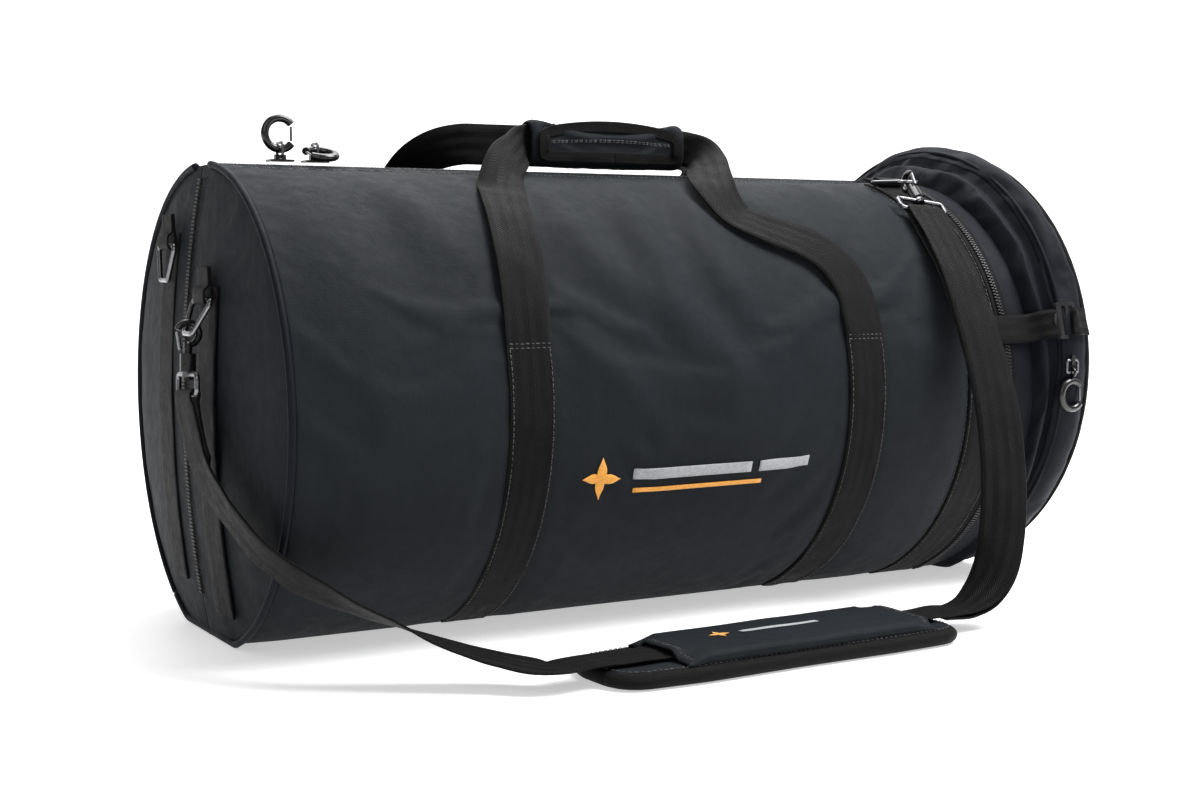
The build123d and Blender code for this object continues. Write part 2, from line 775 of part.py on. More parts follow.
def swivel(plane):
    """Wire loop for the webbing, with a boss that the hook turns in."""
    with BuildPart() as loop:
        side_on = Plane(origin=plane.origin, x_dir=plane.z_dir, z_dir=-plane.x_dir)
        add(wire_loop(side_on, [(-23.5, -31), (23.5, -31), (23.5, swivel_bar), (-23.5, swivel_bar)], 4, ring_wire))
        add(post(plane, 4.6, -29.0, -33.0))
        add(post(plane, 2.6, -28.0, -34.0), mode=Mode.SUBTRACT)
    return loop.part


with BuildPart() as snap_hook_left:
    add(snap_hook(plane_l))
save(snap_hook_left, "snap_hook_left")

with BuildPart() as snap_hook_right:
    add(snap_hook(plane_r))
save(snap_hook_right, "snap_hook_right")

with BuildPart() as snap_gate_left:
    add(snap_gate(plane_l))
save(snap_gate_left, "snap_gate_left")

with BuildPart() as snap_gate_right:
    add(snap_gate(plane_r))
save(snap_gate_right, "snap_gate_right")

with BuildPart() as strap_swivels:
    add(swivel(plane_l))
    add(swivel(plane_r))
save(strap_swivels, "strap_swivels")

# the pad lies on the floor, its sleeve holds the webbing
pad_mid = Vector(-40, -292, 0)
pad_turn = 2.0
pad_half = 163.0
sleeve_z = 16.6
pad_along = Vector(cos(radians(pad_turn)), sin(radians(pad_turn)), 0)
pad_frame = Plane(origin=pad_mid, x_dir=pad_along, z_dir=(0, 0, 1))


def wrap_of(plane):
    """Webbing folded round the lower bar of the swivel."""
    start = plane.from_local_coords(Vector(0, swivel_bar, -18))
    with BuildPart() as fold:
        with BuildSketch(Plane(origin=start, z_dir=plane.z_dir)):
            Circle(4.4)
            Circle(2.1, mode=Mode.SUBTRACT)
        extrude(amount=36)
    return fold.part


def below(plane, d):
    return tuple(plane.from_local_coords(Vector(0, swivel_bar - d, 0)))


mouth_l = tuple(pad_mid - pad_along * (pad_half + 34))[:2] + (sleeve_z,)
mouth_r = tuple(pad_mid + pad_along * (pad_half + 31))[:2] + (sleeve_z,)
left_run = [(below(plane_l, 4.8), (-1, 0, 0)), (below(plane_l, 13), (-1, 0, 0)), ((-420, -68, 170), (-1, -0.05, -0.1)),
            ((-418, -92, 143), (-0.95, -0.1, -0.3)), ((-412, -124, 118), (-0.85, -0.3, -0.5)),
            ((-403, -160, 96), (-0.7, -0.5, -0.6)), ((-386, -192, 77), (-0.55, -0.5, -0.7)),
            ((-356, -216, 60), (-0.4, -0.35, -0.9)), ((-324, -238, 44), (-0.2, -0.2, -1)),
            ((-292, -258, 30), (-0.1, 0, -1)), ((-262, -278, 20), (0, 0, -1)),
            (mouth_l, (0, 0, -1)), (tuple(pad_mid - pad_along * 60)[:2] + (sleeve_z,), (0, 0, -1))]
right_run = [(tuple(pad_mid - pad_along * 60)[:2] + (sleeve_z,), (0, 0, 1)), (mouth_r, (0, 0, 1)),
             ((173, -287, 26), (-0.35, -0.2, 0.9)), ((189, -288, 46), (-0.6, -0.45, 0.6)),
             ((201, -284, 78), (-0.6, -0.75, 0.25)), ((212, -273, 118), (-0.5, -0.86, 0.05)),
             ((221, -257, 164), (-0.4, -0.9, 0)), ((228, -236, 209), (-0.3, -0.9, 0.2)),
             ((233, -212, 251), (-0.2, -0.9, 0.3)), ((239, -186, 288), (-0.1, -0.8, 0.5)),
             ((245, -160, 316), (0, -0.7, 0.65)), (below(plane_r, 13), (0, -0.6, 0.77)),
             (below(plane_r, 4.8), (0, -0.6, 0.77))]

with BuildPart() as strap_webbing:
    add(webbing([(p, n, 38) for p, n in left_run]))
    add(webbing([(p, n, 38) for p, n in right_run]))
    add(wrap_of(plane_l))
    add(wrap_of(plane_r))
save(strap_webbing, "strap_webbing")

sleeve_from, sleeve_to = -105.0, 132.0   # along the pad, from its middle
glide_at = 100.0

with BuildPart() as shoulder_pad:
    with BuildSketch(pad_frame.offset(0.6)) as outline:
        with BuildLine():
            Spline((-pad_half, 40), (-90, 46), (0, 45), (90, 47), (pad_half, 45))
            Line((pad_half, 45), (pad_half, -45))
            Spline((pad_half, -45), (90, -47), (0, -45), (-90, -46), (-pad_half, -40))
            Line((-pad_half, -40), (-pad_half, 40))
        make_face()
    extrude(amount=12.4)
    fillet(shoulder_pad.edges().filter_by(Axis.Z), radius=24)
    with BuildSketch(pad_frame.offset(12.9)):
        with Locations(((sleeve_from + sleeve_to) / 2, 0)):
            Rectangle(sleeve_to - sleeve_from, 82)
    extrude(amount=8.9)
    top_edges = shoulder_pad.edges().filter_by(lambda e: e.length > 200).group_by(Axis.Z)[-1]
    fillet(top_edges, radius=6)
    with BuildSketch(pad_frame.offset(sleeve_z - 2.0)):
        Rectangle(2 * pad_half + 20, 40)
    extrude(amount=4.0, mode=Mode.SUBTRACT)
    with Locations(pad_frame):
        with Locations(((glide_at - 14 + sleeve_to + 1) / 2, 0, sleeve_z)):
            Box(sleeve_to + 1 - glide_at + 14, 51, 7.0, mode=Mode.SUBTRACT)
save(shoulder_pad, "shoulder_pad")

glide = pad_mid + pad_along * glide_at
glide_frame = Plane(origin=(glide.X, glide.Y, sleeve_z), x_dir=pad_along, z_dir=(0, 0, 1))

with BuildPart() as tri_glide:
    with Locations(glide_frame):
        with Locations((0, 22.4, 0), (0, -22.4, 0)):
            Box(24, 4.4, 6.2)
        with Locations((-9.5, 0, 2.2), (9.5, 0, 2.2)):
            Box(5, 41, 1.8)
        with Locations((0, 0, -2.2)):
            Box(5, 41, 1.8)
save(tri_glide, "tri_glide")
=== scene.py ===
import math

import bpy
import numpy as np
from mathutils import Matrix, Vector, noise
from mathutils.bvhtree import BVHTree


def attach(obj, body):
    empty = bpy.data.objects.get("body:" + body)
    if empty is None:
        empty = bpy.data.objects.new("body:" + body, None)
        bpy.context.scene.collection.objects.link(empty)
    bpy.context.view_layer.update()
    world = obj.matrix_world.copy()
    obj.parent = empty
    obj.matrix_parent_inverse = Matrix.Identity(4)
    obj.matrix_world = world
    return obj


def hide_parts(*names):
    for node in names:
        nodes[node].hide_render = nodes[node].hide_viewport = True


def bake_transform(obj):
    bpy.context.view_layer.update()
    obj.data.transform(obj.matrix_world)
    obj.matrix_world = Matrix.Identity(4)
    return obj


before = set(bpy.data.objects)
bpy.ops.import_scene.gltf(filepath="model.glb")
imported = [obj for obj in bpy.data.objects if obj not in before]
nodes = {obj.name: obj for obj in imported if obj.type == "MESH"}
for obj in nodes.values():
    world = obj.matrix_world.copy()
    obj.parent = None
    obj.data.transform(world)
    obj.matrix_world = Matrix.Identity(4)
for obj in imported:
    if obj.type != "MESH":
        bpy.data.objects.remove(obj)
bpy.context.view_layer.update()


# ---------- sizes, in metres
R, ZC = 0.191, 0.186            # the tube, and the height of its axis
LEFT, RIGHT = -0.385, 0.3215
DOME_RISE = 0.018
DOME_R = (R * R + DOME_RISE ** 2) / (2 * DOME_RISE)
DOME_X = LEFT - DOME_RISE + DOME_R
ER, EZ = 0.202, 0.2045          # the loose end section, and the height of its axis
HANDLE_X = (-0.193, 0.131)
BAND_X = 0.243                  # the collar's edge; past it the cloth is sewn down
ZIP_X = 0.2906                  # the seam that the opening half ends at
COLLAR_X = 0.2638
STITCH_AT = 0.0172              # from the middle of a webbing to its stitch lines
FLOOR_GAP = 0.004               # stitches lower than this would lie in the floor


def around(x, a, r, zc=ZC):
    t = math.radians(a)
    return Vector((x, -r * math.sin(t), zc + r * math.cos(t)))


def out_of(a):
    t = math.radians(a)
    return Vector((0, -math.sin(t), math.cos(t)))


def dome(y, z, out=0.0):
    return DOME_X - math.sqrt((DOME_R + out) ** 2 - y * y - (z - ZC) ** 2)


def dress(piece, body, slot, *replaced):
    """A piece that moves with one body, and the CAD nodes that it stands for. The material slot argument is
    not used.
    """
    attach(piece, body)
    if replaced:
        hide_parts(*replaced)


# ---------- materials
def feed(nt, node, ins):
    """Links sockets to a node's inputs, and sets plain values on the others."""
    for k, v in ins.items():
        if isinstance(v, bpy.types.NodeSocket):
            nt.links.new(v, node.inputs[k])
        else:
            node.inputs[k].default_value = v


def add(nt, kind, ins=None, **attrs):
    n = nt.nodes.new("ShaderNode" + kind)
    for k, v in attrs.items():
        setattr(n, k, v)
    feed(nt, n, ins or {})
    return n


def math_(nt, op, a, b=0.0):
    return add(nt, "Math", {0: a, 1: b}, operation=op).outputs[0]


def mul(nt, a, b):
    return math_(nt, "MULTIPLY", a, b)


def ripple(nt, value, pitch):
    """Rounded ribs, from 0 to 1, at a pitch."""
    return math_(nt, "ABSOLUTE", math_(nt, "SINE", mul(nt, value, math.pi / pitch)))


def mix_colour(nt, fac, a, b):
    return add(nt, "Mix", {0: fac, 6: a, 7: b}, data_type="RGBA").outputs[2]


def remap(nt, value, lo, hi, to_lo=0.0, to_hi=1.0):
    return add(nt, "MapRange", {0: value, 1: lo, 2: hi, 3: to_lo, 4: to_hi}).outputs[0]


def bumped(nt, strength, distance, height, **more):
    return add(nt, "Bump", {"Strength": strength, "Distance": distance, "Height": height, **more}).outputs[0]


def new_material(name):
    m = bpy.data.materials.new(name)
    m.use_nodes = True
    nt = m.node_tree
    nt.nodes.clear()
    out = add(nt, "OutputMaterial")
    shader = add(nt, "BsdfPrincipled")
    nt.links.new(shader.outputs[0], out.inputs[0])
    return m, nt, shader


def coords(nt, uv):
    return add(nt, "TexCoord").outputs["UV" if uv else "Object"]


def noise_fac(nt, co, scale, detail=3.0, rough=0.55, lo=0.35, hi=0.65):
    n = add(nt, "TexNoise", {"Vector": co, "Scale": scale, "Detail": detail, "Roughness": rough})
    return remap(nt, n.outputs["Fac"], lo, hi)


def grid_weave(nt, co, pitch):
    """Height of a plain weave."""
    sep = add(nt, "SeparateXYZ", {0: co})
    chk = add(nt, "TexChecker", {"Vector": co, "Scale": 1.0 / pitch}).outputs["Fac"]
    over, under = (ripple(nt, sep.outputs[k], pitch) for k in (0, 1))
    return add(nt, "Mix", {0: chk, 2: over, 3: under}, data_type="FLOAT").outputs[0]


def cloth_material(name, dark, light, pitch=0.0011, uv=True, sheen=0.35, rough=0.62, bump=0.5):
    """Woven cloth with slubs, broad shading and a little lint."""
    m, nt, sh = new_material(name)
    obj = coords(nt, False)
    w = grid_weave(nt, coords(nt, uv), pitch)
    broad = noise_fac(nt, obj, 7.0, 4.0)
    fine = noise_fac(nt, obj, 90.0, 4.0, 0.6, 0.3, 0.75)
    fleck = noise_fac(nt, obj, 900.0, 2.0, 0.6, 0.66, 0.8)
    base = mix_colour(nt, broad, dark, light)
    # painted highlight: the raised threads of the weave are painted lighter, toward 2.6 times the light tone,
    # by their height
    base = mix_colour(nt, mul(nt, w, 0.6), base, tuple(c * 2.6 for c in light[:3]) + (1,))
    base = mix_colour(nt, mul(nt, mul(nt, fleck, fine), 0.10), base, (0.06, 0.063, 0.066, 1.0))
    h = math_(nt, "ADD", mul(nt, w, 0.6), mul(nt, fine, 0.8))
    threads = bumped(nt, bump, 0.0004, h)
    feed(nt, sh, {"Base Color": base, "Roughness": remap(nt, fine, 0.0, 1.0, rough - 0.07, rough + 0.08),
                  "Sheen Weight": sheen, "Sheen Roughness": 0.45, "Sheen Tint": (0.62, 0.72, 0.9, 1),
                  "Specular IOR Level": 0.06,
                  "Normal": bumped(nt, 0.35, 0.0012, noise_fac(nt, obj, 38.0, 3.0), Normal=threads)})
    return m


def webbing_material(name, dark, light, rough=0.55):
    """Ribbed webbing: chevrons along the length, heavier yarn at the edges."""
    m, nt, sh = new_material(name)
    sep = add(nt, "SeparateXYZ", {0: coords(nt, True)})
    zig = math_(nt, "PINGPONG", sep.outputs[0], 0.0052)
    rib = ripple(nt, math_(nt, "ADD", sep.outputs[1], mul(nt, zig, 0.9)), 0.0021)
    yarn = ripple(nt, sep.outputs[0], 0.0026)
    h = math_(nt, "ADD", mul(nt, rib, 0.95), mul(nt, yarn, 0.18))
    fine = noise_fac(nt, coords(nt, False), 140.0, 3.0, 0.6, 0.3, 0.7)
    # painted shade and highlight: the grooves between the ribs are painted near the dark tone and the raised
    # ribs toward the light tone, by their height
    base = mix_colour(nt, mul(nt, h, 0.8), dark, light)
    base = mix_colour(nt, mul(nt, fine, 0.12), base, (0.012, 0.012, 0.012, 1))
    feed(nt, sh, {"Base Color": base, "Roughness": remap(nt, fine, 0.0, 1.0, rough - 0.05, rough + 0.1),
                  "Sheen Weight": 0.02, "Specular IOR Level": 0.06, "Normal": bumped(nt, 0.75, 0.0006, h)})
    return m


def hard_material(name, dark, light, rough, metallic=0.0, coat=0.0, scratch=0.12):
    """Moulded plastic or lacquered and plated metal with fine wear."""
    m, nt, sh = new_material(name)
    obj = coords(nt, False)
    broad = noise_fac(nt, obj, 60.0, 4.0)
    fine = noise_fac(nt, obj, 700.0, 4.0, 0.65)
    worn = math_(nt, "ADD", mul(nt, broad, 0.5), mul(nt, fine, 0.5))
    feed(nt, sh, {"Base Color": mix_colour(nt, mul(nt, broad, 0.35), dark, light), "Metallic": metallic,
                  "Roughness": remap(nt, worn, 0.0, 1.0, rough, rough + 0.16), "Coat Weight": coat,
                  "Coat Roughness": 0.12, "Normal": bumped(nt, scratch, 0.0003, fine)})
    return m


def thread_material(name, dark, light, pitch=0.0012):
    """Embroidery: satin rows of thread."""
    m, nt, sh = new_material(name)
    sep = add(nt, "SeparateXYZ", {0: coords(nt, True)})
    row = ripple(nt, math_(nt, "ADD", sep.outputs[1], mul(nt, sep.outputs[0], 0.4)), pitch)
    fine = noise_fac(nt, coords(nt, False), 500.0, 3.0)
    # partly painted highlight: the crests of the satin rows are painted lighter by their height; the fine
    # noise adds random tone
    base = mix_colour(nt, mul(nt, math_(nt, "ADD", row, fine), 0.5), dark, light)
    feed(nt, sh, {"Base Color": base, "Roughness": 0.42, "Sheen Weight": 0.3,
                  "Normal": bumped(nt, 0.8, 0.0005, row)})
    return m


def ink(r, g, b):
    return (r, g, b, 1)


def grey(v, blue=0.0):
    return (v, v, v + blue, 1)


M = {
    "cloth": cloth_material("cloth", ink(0.0042, 0.0050, 0.0060), ink(0.0072, 0.0084, 0.0100), sheen=0.012),
    "smooth": cloth_material("smooth_cloth", ink(0.0026, 0.0029, 0.0040), ink(0.0044, 0.0048, 0.0068),
                             pitch=0.0009, sheen=0.02, rough=0.55, bump=0.3),
    "lining": cloth_material("lining", ink(0.05, 0.051, 0.056), ink(0.075, 0.077, 0.083), pitch=0.0008,
                             uv=False),
    "webbing": webbing_material("webbing", grey(0.0008), ink(0.0058, 0.0056, 0.0054)),
    "binding": webbing_material("binding", grey(0.0008), ink(0.0062, 0.0060, 0.0058), rough=0.6),
    "tape": cloth_material("zip_tape", grey(0.0016, 0.0003), grey(0.0030, 0.0005), pitch=0.0008, uv=False,
                           sheen=0.01, rough=0.6),
    "teeth": hard_material("zip_teeth", grey(0.004, 0.0005), grey(0.012, 0.001), 0.42),
    "black": hard_material("black_enamel", grey(0.004, 0.0005), grey(0.010, 0.001), 0.20, coat=0.25),
    "plastic": hard_material("moulded_plastic", grey(0.008, 0.0012), grey(0.02, 0.002), 0.3, coat=0.15,
                             scratch=0.2),
    "chrome": hard_material("plated_wire", grey(0.20, 0.01), grey(0.06, 0.005), 0.22, metallic=1.0),
    "orange": thread_material("orange_thread", ink(0.62, 0.21, 0.008), ink(0.95, 0.42, 0.03)),
    "grey": thread_material("grey_thread", ink(0.22, 0.225, 0.235), ink(0.42, 0.43, 0.45)),
    "stitch": thread_material("stitch_thread", grey(0.0020, 0.0002), ink(0.0052, 0.0053, 0.0058), 0.0006),
    "foam": cloth_material("foam", grey(0.010, 0.001), grey(0.018, 0.002), pitch=0.002, uv=False, bump=0.2),
}


# ---------- mesh tools
def make(name, verts, faces, uvs=None, mat=None, smooth=True):
    me = bpy.data.meshes.new(name)
    me.from_pydata([tuple(v) for v in verts], [], faces)
    me.update()
    if uvs is not None:
        layer = me.uv_layers.new(name="UVMap")
        loops = np.zeros(len(me.loops), np.int32)
        me.loops.foreach_get("vertex_index", loops)
        layer.data.foreach_set("uv", np.asarray(uvs, np.float32)[loops].ravel())
    if smooth:
        me.polygons.foreach_set("use_smooth", [True] * len(me.polygons))
    o = bpy.data.objects.new(name, me)
    bpy.context.scene.collection.objects.link(o)
    if mat:
        me.materials.append(M[mat])
    return o


def ring_faces(n, m, close_v, flip=True):
    """Faces between the rows of an n by m sheet; close_v joins the last column to the first."""
    faces = []
    for i in range(n - 1):
        for j in range(m if close_v else m - 1):
            k = (j + 1) % m
            f = (i * m + j, i * m + k, (i + 1) * m + k, (i + 1) * m + j)
            faces.append(f[::-1] if flip else f)
    return faces


def grid(name, P, uv, mat, close_v=False, flip=False):
    """Sheet from an (n, m, 3) array."""
    faces = ring_faces(*P.shape[:2], close_v, flip)
    return make(name, P.reshape(-1, 3), faces, uv.reshape(-1, 2), mat)


def join(name, parts):
    """Joins meshes that share one material set."""
    bpy.ops.object.select_all(action="DESELECT")
    for p in parts:
        p.select_set(True)
    bpy.context.view_layer.objects.active = parts[0]
    bpy.ops.object.join()
    parts[0].name = name
    parts[0].data.name = name
    return parts[0]


def solid(o, thick, offset=-1.0):
    md = o.modifiers.new("thick", "SOLIDIFY")
    md.thickness = thick
    md.offset = offset
    return o


def smoothen(o, levels=1):
    md = o.modifiers.new("sub", "SUBSURF")
    md.levels = md.render_levels = levels
    return o


def apply_mods(o):
    dg = bpy.context.evaluated_depsgraph_get()
    me = bpy.data.meshes.new_from_object(o.evaluated_get(dg), preserve_all_data_layers=True, depsgraph=dg)
    old = o.data
    o.modifiers.clear()
    o.data = me
    bpy.data.meshes.remove(old)
    return o


def catmull(pts, step):
    """Smooth line through points (rows may hold more than three numbers), resampled by length."""
    p = np.array(pts, float)
    p = np.vstack([2 * p[0] - p[1], p, 2 * p[-1] - p[-2]])
    rows = []
    for i in range(1, len(p) - 2):
        n = max(2, int(np.linalg.norm(p[i + 1, :3] - p[i, :3]) / step * 2))
        for t in np.linspace(0, 1, n, endpoint=False):
            a = 2 * p[i]
            b = p[i + 1] - p[i - 1]
            c = 2 * p[i - 1] - 5 * p[i] + 4 * p[i + 1] - p[i + 2]
            d = -p[i - 1] + 3 * p[i] - 3 * p[i + 1] + p[i + 2]
            rows.append(0.5 * (a + b * t + c * t * t + d * t ** 3))
    rows.append(p[-2])
    rows = np.array(rows)
    s = np.concatenate([[0], np.cumsum(np.linalg.norm(np.diff(rows[:, :3], axis=0), axis=1))])
    m = max(2, int(s[-1] / step) + 1)
    want = np.linspace(0, s[-1], m)
    return np.stack([np.interp(want, s, rows[:, k]) for k in range(rows.shape[1])], axis=1), want


WEB_COLS = 9


def ribbon(name, stations, thick, step, mat, wobble):
    """Flat webbing through (point, normal, width) stations, with rounded edges and closed ends."""
    rows = [[*p, *Vector(n).normalized(), w] for p, n, w in stations]
    line, s = catmull(rows, step)
    p = line[:, :3]
    t = np.gradient(p, axis=0)
    t /= np.linalg.norm(t, axis=1)[:, None]
    nrm = line[:, 3:6]
    nrm = nrm - (nrm * t).sum(1)[:, None] * t
    nrm /= np.linalg.norm(nrm, axis=1)[:, None]
    side = np.cross(t, nrm)
    w = line[:, 6]
    prof = [(-0.5, 0.0)] + [(u, 0.5) for u in np.linspace(-0.485, 0.485, WEB_COLS)]
    prof += [(0.5, 0.0)] + [(u, -0.5) for u in np.linspace(0.485, -0.485, WEB_COLS)]
    m = len(prof)
    P = np.zeros((len(p), m, 3))
    uv = np.zeros((len(p), m, 2))
    for j, (u, h) in enumerate(prof):
        wave = np.array([noise.noise(Vector((a * 38, u * 2.2, len(name) * 1.7))) for a in s]) * wobble * 2
        P[:, j] = p + side * (u * w)[:, None] + nrm * (h * thick + wave)[:, None]
        uv[:, j] = np.stack([u * w + 0.02, s], axis=1)
    n = len(p)
    faces = ring_faces(n, m, True)
    faces += [tuple(range(m)), tuple((n - 1) * m + k for k in range(m))[::-1]]
    return make(name, P.reshape(-1, 3), faces, uv.reshape(-1, 2), mat)


def stitches(name, lines):
    """Sewing thread: short raised dashes along (points, normals) lines."""
    length, gap, r = 0.0030, 0.0016, 0.00032
    verts, faces, uvs = [], [], []
    for pts, nrm in lines:
        rows = [[*p, *Vector(n).normalized()] for p, n in zip(pts, nrm)]
        line, s = catmull(rows, 0.001)
        total = s[-1]
        at = gap / 2
        while at + length < total:
            a = np.array([np.interp(at, s, line[:, k]) for k in range(6)])
            b = np.array([np.interp(at + length, s, line[:, k]) for k in range(6)])
            d = b[:3] - a[:3]
            d /= max(np.linalg.norm(d), 1e-9)
            n = a[3:] / np.linalg.norm(a[3:])
            c = np.cross(d, n)
            c /= max(np.linalg.norm(c), 1e-9)
            base = len(verts)
            for q, sink in ((a[:3], -0.6), ((a[:3] + b[:3]) / 2, 0.9), (b[:3], -0.6)):
                for cu, cn in ((-1, 0), (0, 1), (1, 0), (0, -1)):
                    verts.append(q + c * cu * r * 1.25 + n * (cn * r + sink * r))
                    uvs.append((cu * r, at))
            for g in (0, 4):
                for k in range(4):
                    k2 = (k + 1) % 4
                    faces.append((base + g + k, base + g + k2, base + g + 4 + k2, base + g + 4 + k))
            faces.append((base + 3, base + 2, base + 1, base))
            faces.append((base + 8, base + 9, base + 10, base + 11))
            at += length + gap
    return make(name, verts, faces, uvs, "stitch")


def tube_line(name, pts, r, mat, closed=False, sides=10, step=0.002):
    """Round wire or cord along points."""
    if closed:
        pts = list(pts) + [pts[0]]
    line, s = catmull([list(p) for p in pts], step)
    if closed:
        line = line[:-1]
    t = np.roll(line, -1, 0) - np.roll(line, 1, 0) if closed else np.gradient(line, axis=0)
    t /= np.linalg.norm(t, axis=1)[:, None]
    ref = np.array([0.31, 0.52, 0.79])
    n0 = np.cross(t[0], ref)
    n0 /= np.linalg.norm(n0)
    P = np.zeros((len(line), sides, 3))
    for i in range(len(line)):
        n0 = n0 - (n0 @ t[i]) * t[i]
        n0 /= np.linalg.norm(n0)
        b = np.cross(t[i], n0)
        for k in range(sides):
            q = 2 * math.pi * k / sides
            P[i, k] = line[i] + r * (math.cos(q) * n0 + math.sin(q) * b)
    n = len(line)
    verts = P.reshape(-1, 3)
    faces = []
    for i in range(n if closed else n - 1):
        i2 = (i + 1) % n
        shift = 0
        if closed and i == n - 1:
            d = [np.linalg.norm(P[0, q] - P[-1, 0]) for q in range(sides)]
            shift = int(np.argmin(d))
        for k in range(sides):
            k2 = (k + 1) % sides
            faces.append((i * sides + k, i * sides + k2, i2 * sides + (k2 + shift) % sides,
                          i2 * sides + (k + shift) % sides))
    if not closed:
        faces += [tuple(range(sides))[::-1], tuple((n - 1) * sides + k for k in range(sides))]
    uvs = [(k / sides * 2 * math.pi * r, i * step) for i in range(n) for k in range(sides)]
    return make(name, verts, faces, uvs, mat)


# ---------- cloth simulation
def pin(o, weights):
    g = o.vertex_groups.new(name="pin")
    for i, w in enumerate(weights):
        if w > 0:
            g.add([i], float(min(1.0, w)), "REPLACE")


def collider(o):
    o.modifiers.new("col", "COLLISION")
    o.collision.thickness_outer = 0.0010
    o.collision.cloth_friction = 12


def cloth(o, shrink, bend, tension, pressure):
    """Sets up the simulation of one sheet; its pinned points stay."""
    md = o.modifiers.new("sim", "CLOTH")
    c = md.settings
    c.quality = 6
    c.mass = 0.25
    c.tension_stiffness = c.compression_stiffness = tension
    c.shear_stiffness = tension * 0.5
    c.bending_stiffness = bend
    c.tension_damping = c.compression_damping = c.shear_damping = 8
    c.bending_damping = 1.0
    c.air_damping = 3.0
    c.shrink_min = shrink
    c.vertex_group_mass = "pin"
    c.use_pressure = True
    c.uniform_pressure_force = pressure
    md.collision_settings.distance_min = 0.0012
    md.collision_settings.use_self_collision = False
    md.collision_settings.collision_quality = 3
    c.effector_weights.gravity = 0.15


def simulate(objs, colliders, frames):
    """Runs the cloth, keeps the last shape as the mesh and removes the colliders."""
    scene = bpy.context.scene
    scene.frame_start, scene.frame_end = 1, frames
    for o in objs:
        for md in o.modifiers:
            if md.type == "CLOTH":
                md.point_cache.frame_start, md.point_cache.frame_end = 1, frames
    for f in range(1, frames + 1):
        scene.frame_set(f)
    dg = bpy.context.evaluated_depsgraph_get()
    for o in objs:
        e = o.evaluated_get(dg)
        co = np.zeros(len(e.data.vertices) * 3, np.float32)
        e.data.vertices.foreach_get("co", co)
        if not np.isfinite(co).all():
            co = np.array([v.co for v in o.data.vertices], np.float32).ravel()
        o.modifiers.clear()
        o.data.vertices.foreach_set("co", co)
        o.data.update()
    for c in colliders:
        bpy.data.objects.remove(c)
    scene.frame_set(1)


def coords_of(o, n, m):
    co = np.zeros(len(o.data.vertices) * 3, np.float32)
    o.data.vertices.foreach_get("co", co)
    return co.reshape(n, m, 3).astype(float)


# ---------- the tube: outer cloth
# Soft folds that the handles pull in: height and half width in mm, then a line of (x in m, degrees).
FOLDS = [(2.4, 13, ((-0.265, 25), (-0.250, 45), (-0.215, 57))),
         (3.0, 12, ((-0.135, 24), (-0.122, 48), (-0.088, 60), (-0.050, 71))),
         (3.4, 13, ((-0.045, 16), (-0.062, 46), (-0.055, 64), (-0.028, 80))),
         (3.4, 13, ((0.012, 18), (-0.008, 46), (0.006, 62), (0.026, 77))),
         (2.2, 11, ((-0.158, 70), (-0.122, 81), (-0.076, 98))),
         (2.2, 10, ((-0.022, 66), (-0.009, 82), (0.001, 98))),
         (2.4, 14, ((0.150, 14), (0.168, 38), (0.176, 60))),
         (1.8, 12, ((0.205, 14), (0.214, 44))),
         (2.0, 13, ((0.050, 20), (0.046, 50))),
         (-2.2, 12, ((-0.088, 22), (-0.090, 52), (-0.073, 68), (-0.044, 87))),
         (-2.0, 11, ((-0.018, 22), (-0.031, 56), (-0.017, 71))),
         (-1.8, 11, ((-0.012, 60), (0.002, 71), (0.028, 84))),
         (-1.8, 11, ((-0.152, 54), (-0.121, 65), (-0.093, 78), (-0.056, 95))),
         (-1.6, 12, ((-0.290, 30), (-0.280, 60))),
         (1.6, 16, ((-0.330, 40), (-0.318, 80), (-0.322, 120))),
         (2.2, 15, ((-0.120, -20), (-0.085, -60), (-0.070, -95))),
         (2.4, 14, ((0.020, -22), (0.0, -55), (0.030, -90))),
         (-1.8, 13, ((-0.050, -24), (-0.040, -75))),
         (2.0, 15, ((-0.265, -30), (-0.240, -75))),
         (2.0, 15, ((0.180, -20), (0.200, -70)))]
# The slack leg of the front handle on the tube, and every loose leg: x in metres, angle in degrees.
SLACK = ((0.131, 72.5), (0.1292, 63.5), (0.124, 58), (0.115, 53.2), (0.101, 49.2), (0.084, 46.2),
         (0.066, 43.6), (0.052, 40.6), (0.042, 37))
LEGS = {1: (((-0.193, 70), (-0.190, 55), (-0.180, 40), (-0.163, 25)),
            SLACK + ((0.037, 29), (0.044, 22))),
        -1: (((-0.193, 70), (-0.190, 45), (-0.184, 31)), ((0.131, 70), (0.128, 45), (0.122, 31)))}


def clamp(v):
    return min(1.0, max(0.0, v))


def to_line(x, a, line):
    """Distance on the tube from (x, a) to a line of such points, and the fraction along the line."""
    s, best, along = math.radians(a) * R, 1e9, 0.0
    for k, ((ax, aa), (bx, ba)) in enumerate(zip(line, line[1:])):
        sa, sb = math.radians(aa) * R, math.radians(ba) * R
        dx, ds = bx - ax, sb - sa
        t = clamp(((x - ax) * dx + (s - sa) * ds) / (dx * dx + ds * ds))
        d = math.hypot(x - ax - t * dx, s - sa - t * ds)
        if d < best:
            best, along = d, (k + t) / (len(line) - 1)
    return best, along


def fold_height(x, a):
    """Height of the soft folds in metres at x and angle a, where a runs from -180 to 180."""
    total = 0.0
    for h, w, line in FOLDS:
        gap, along = to_line(x, a, line)
        width = w / 1000 * (0.75 + 0.5 * math.sin(math.pi * along))
        taper = min(1.0, 0.25 + 3.0 * along, 0.15 + 2.4 * (1 - along))
        total += h / 1000 * taper * math.exp(-0.5 * (gap / width) ** 2)
    return total


def leg_gap(x, a):
    """0 under the loose legs of the handles, 1 away from them."""
    near = min(to_line(x, abs(a), leg)[0] for leg in LEGS[1 if a > 0 else -1])
    return clamp((near - 0.018) / 0.016)


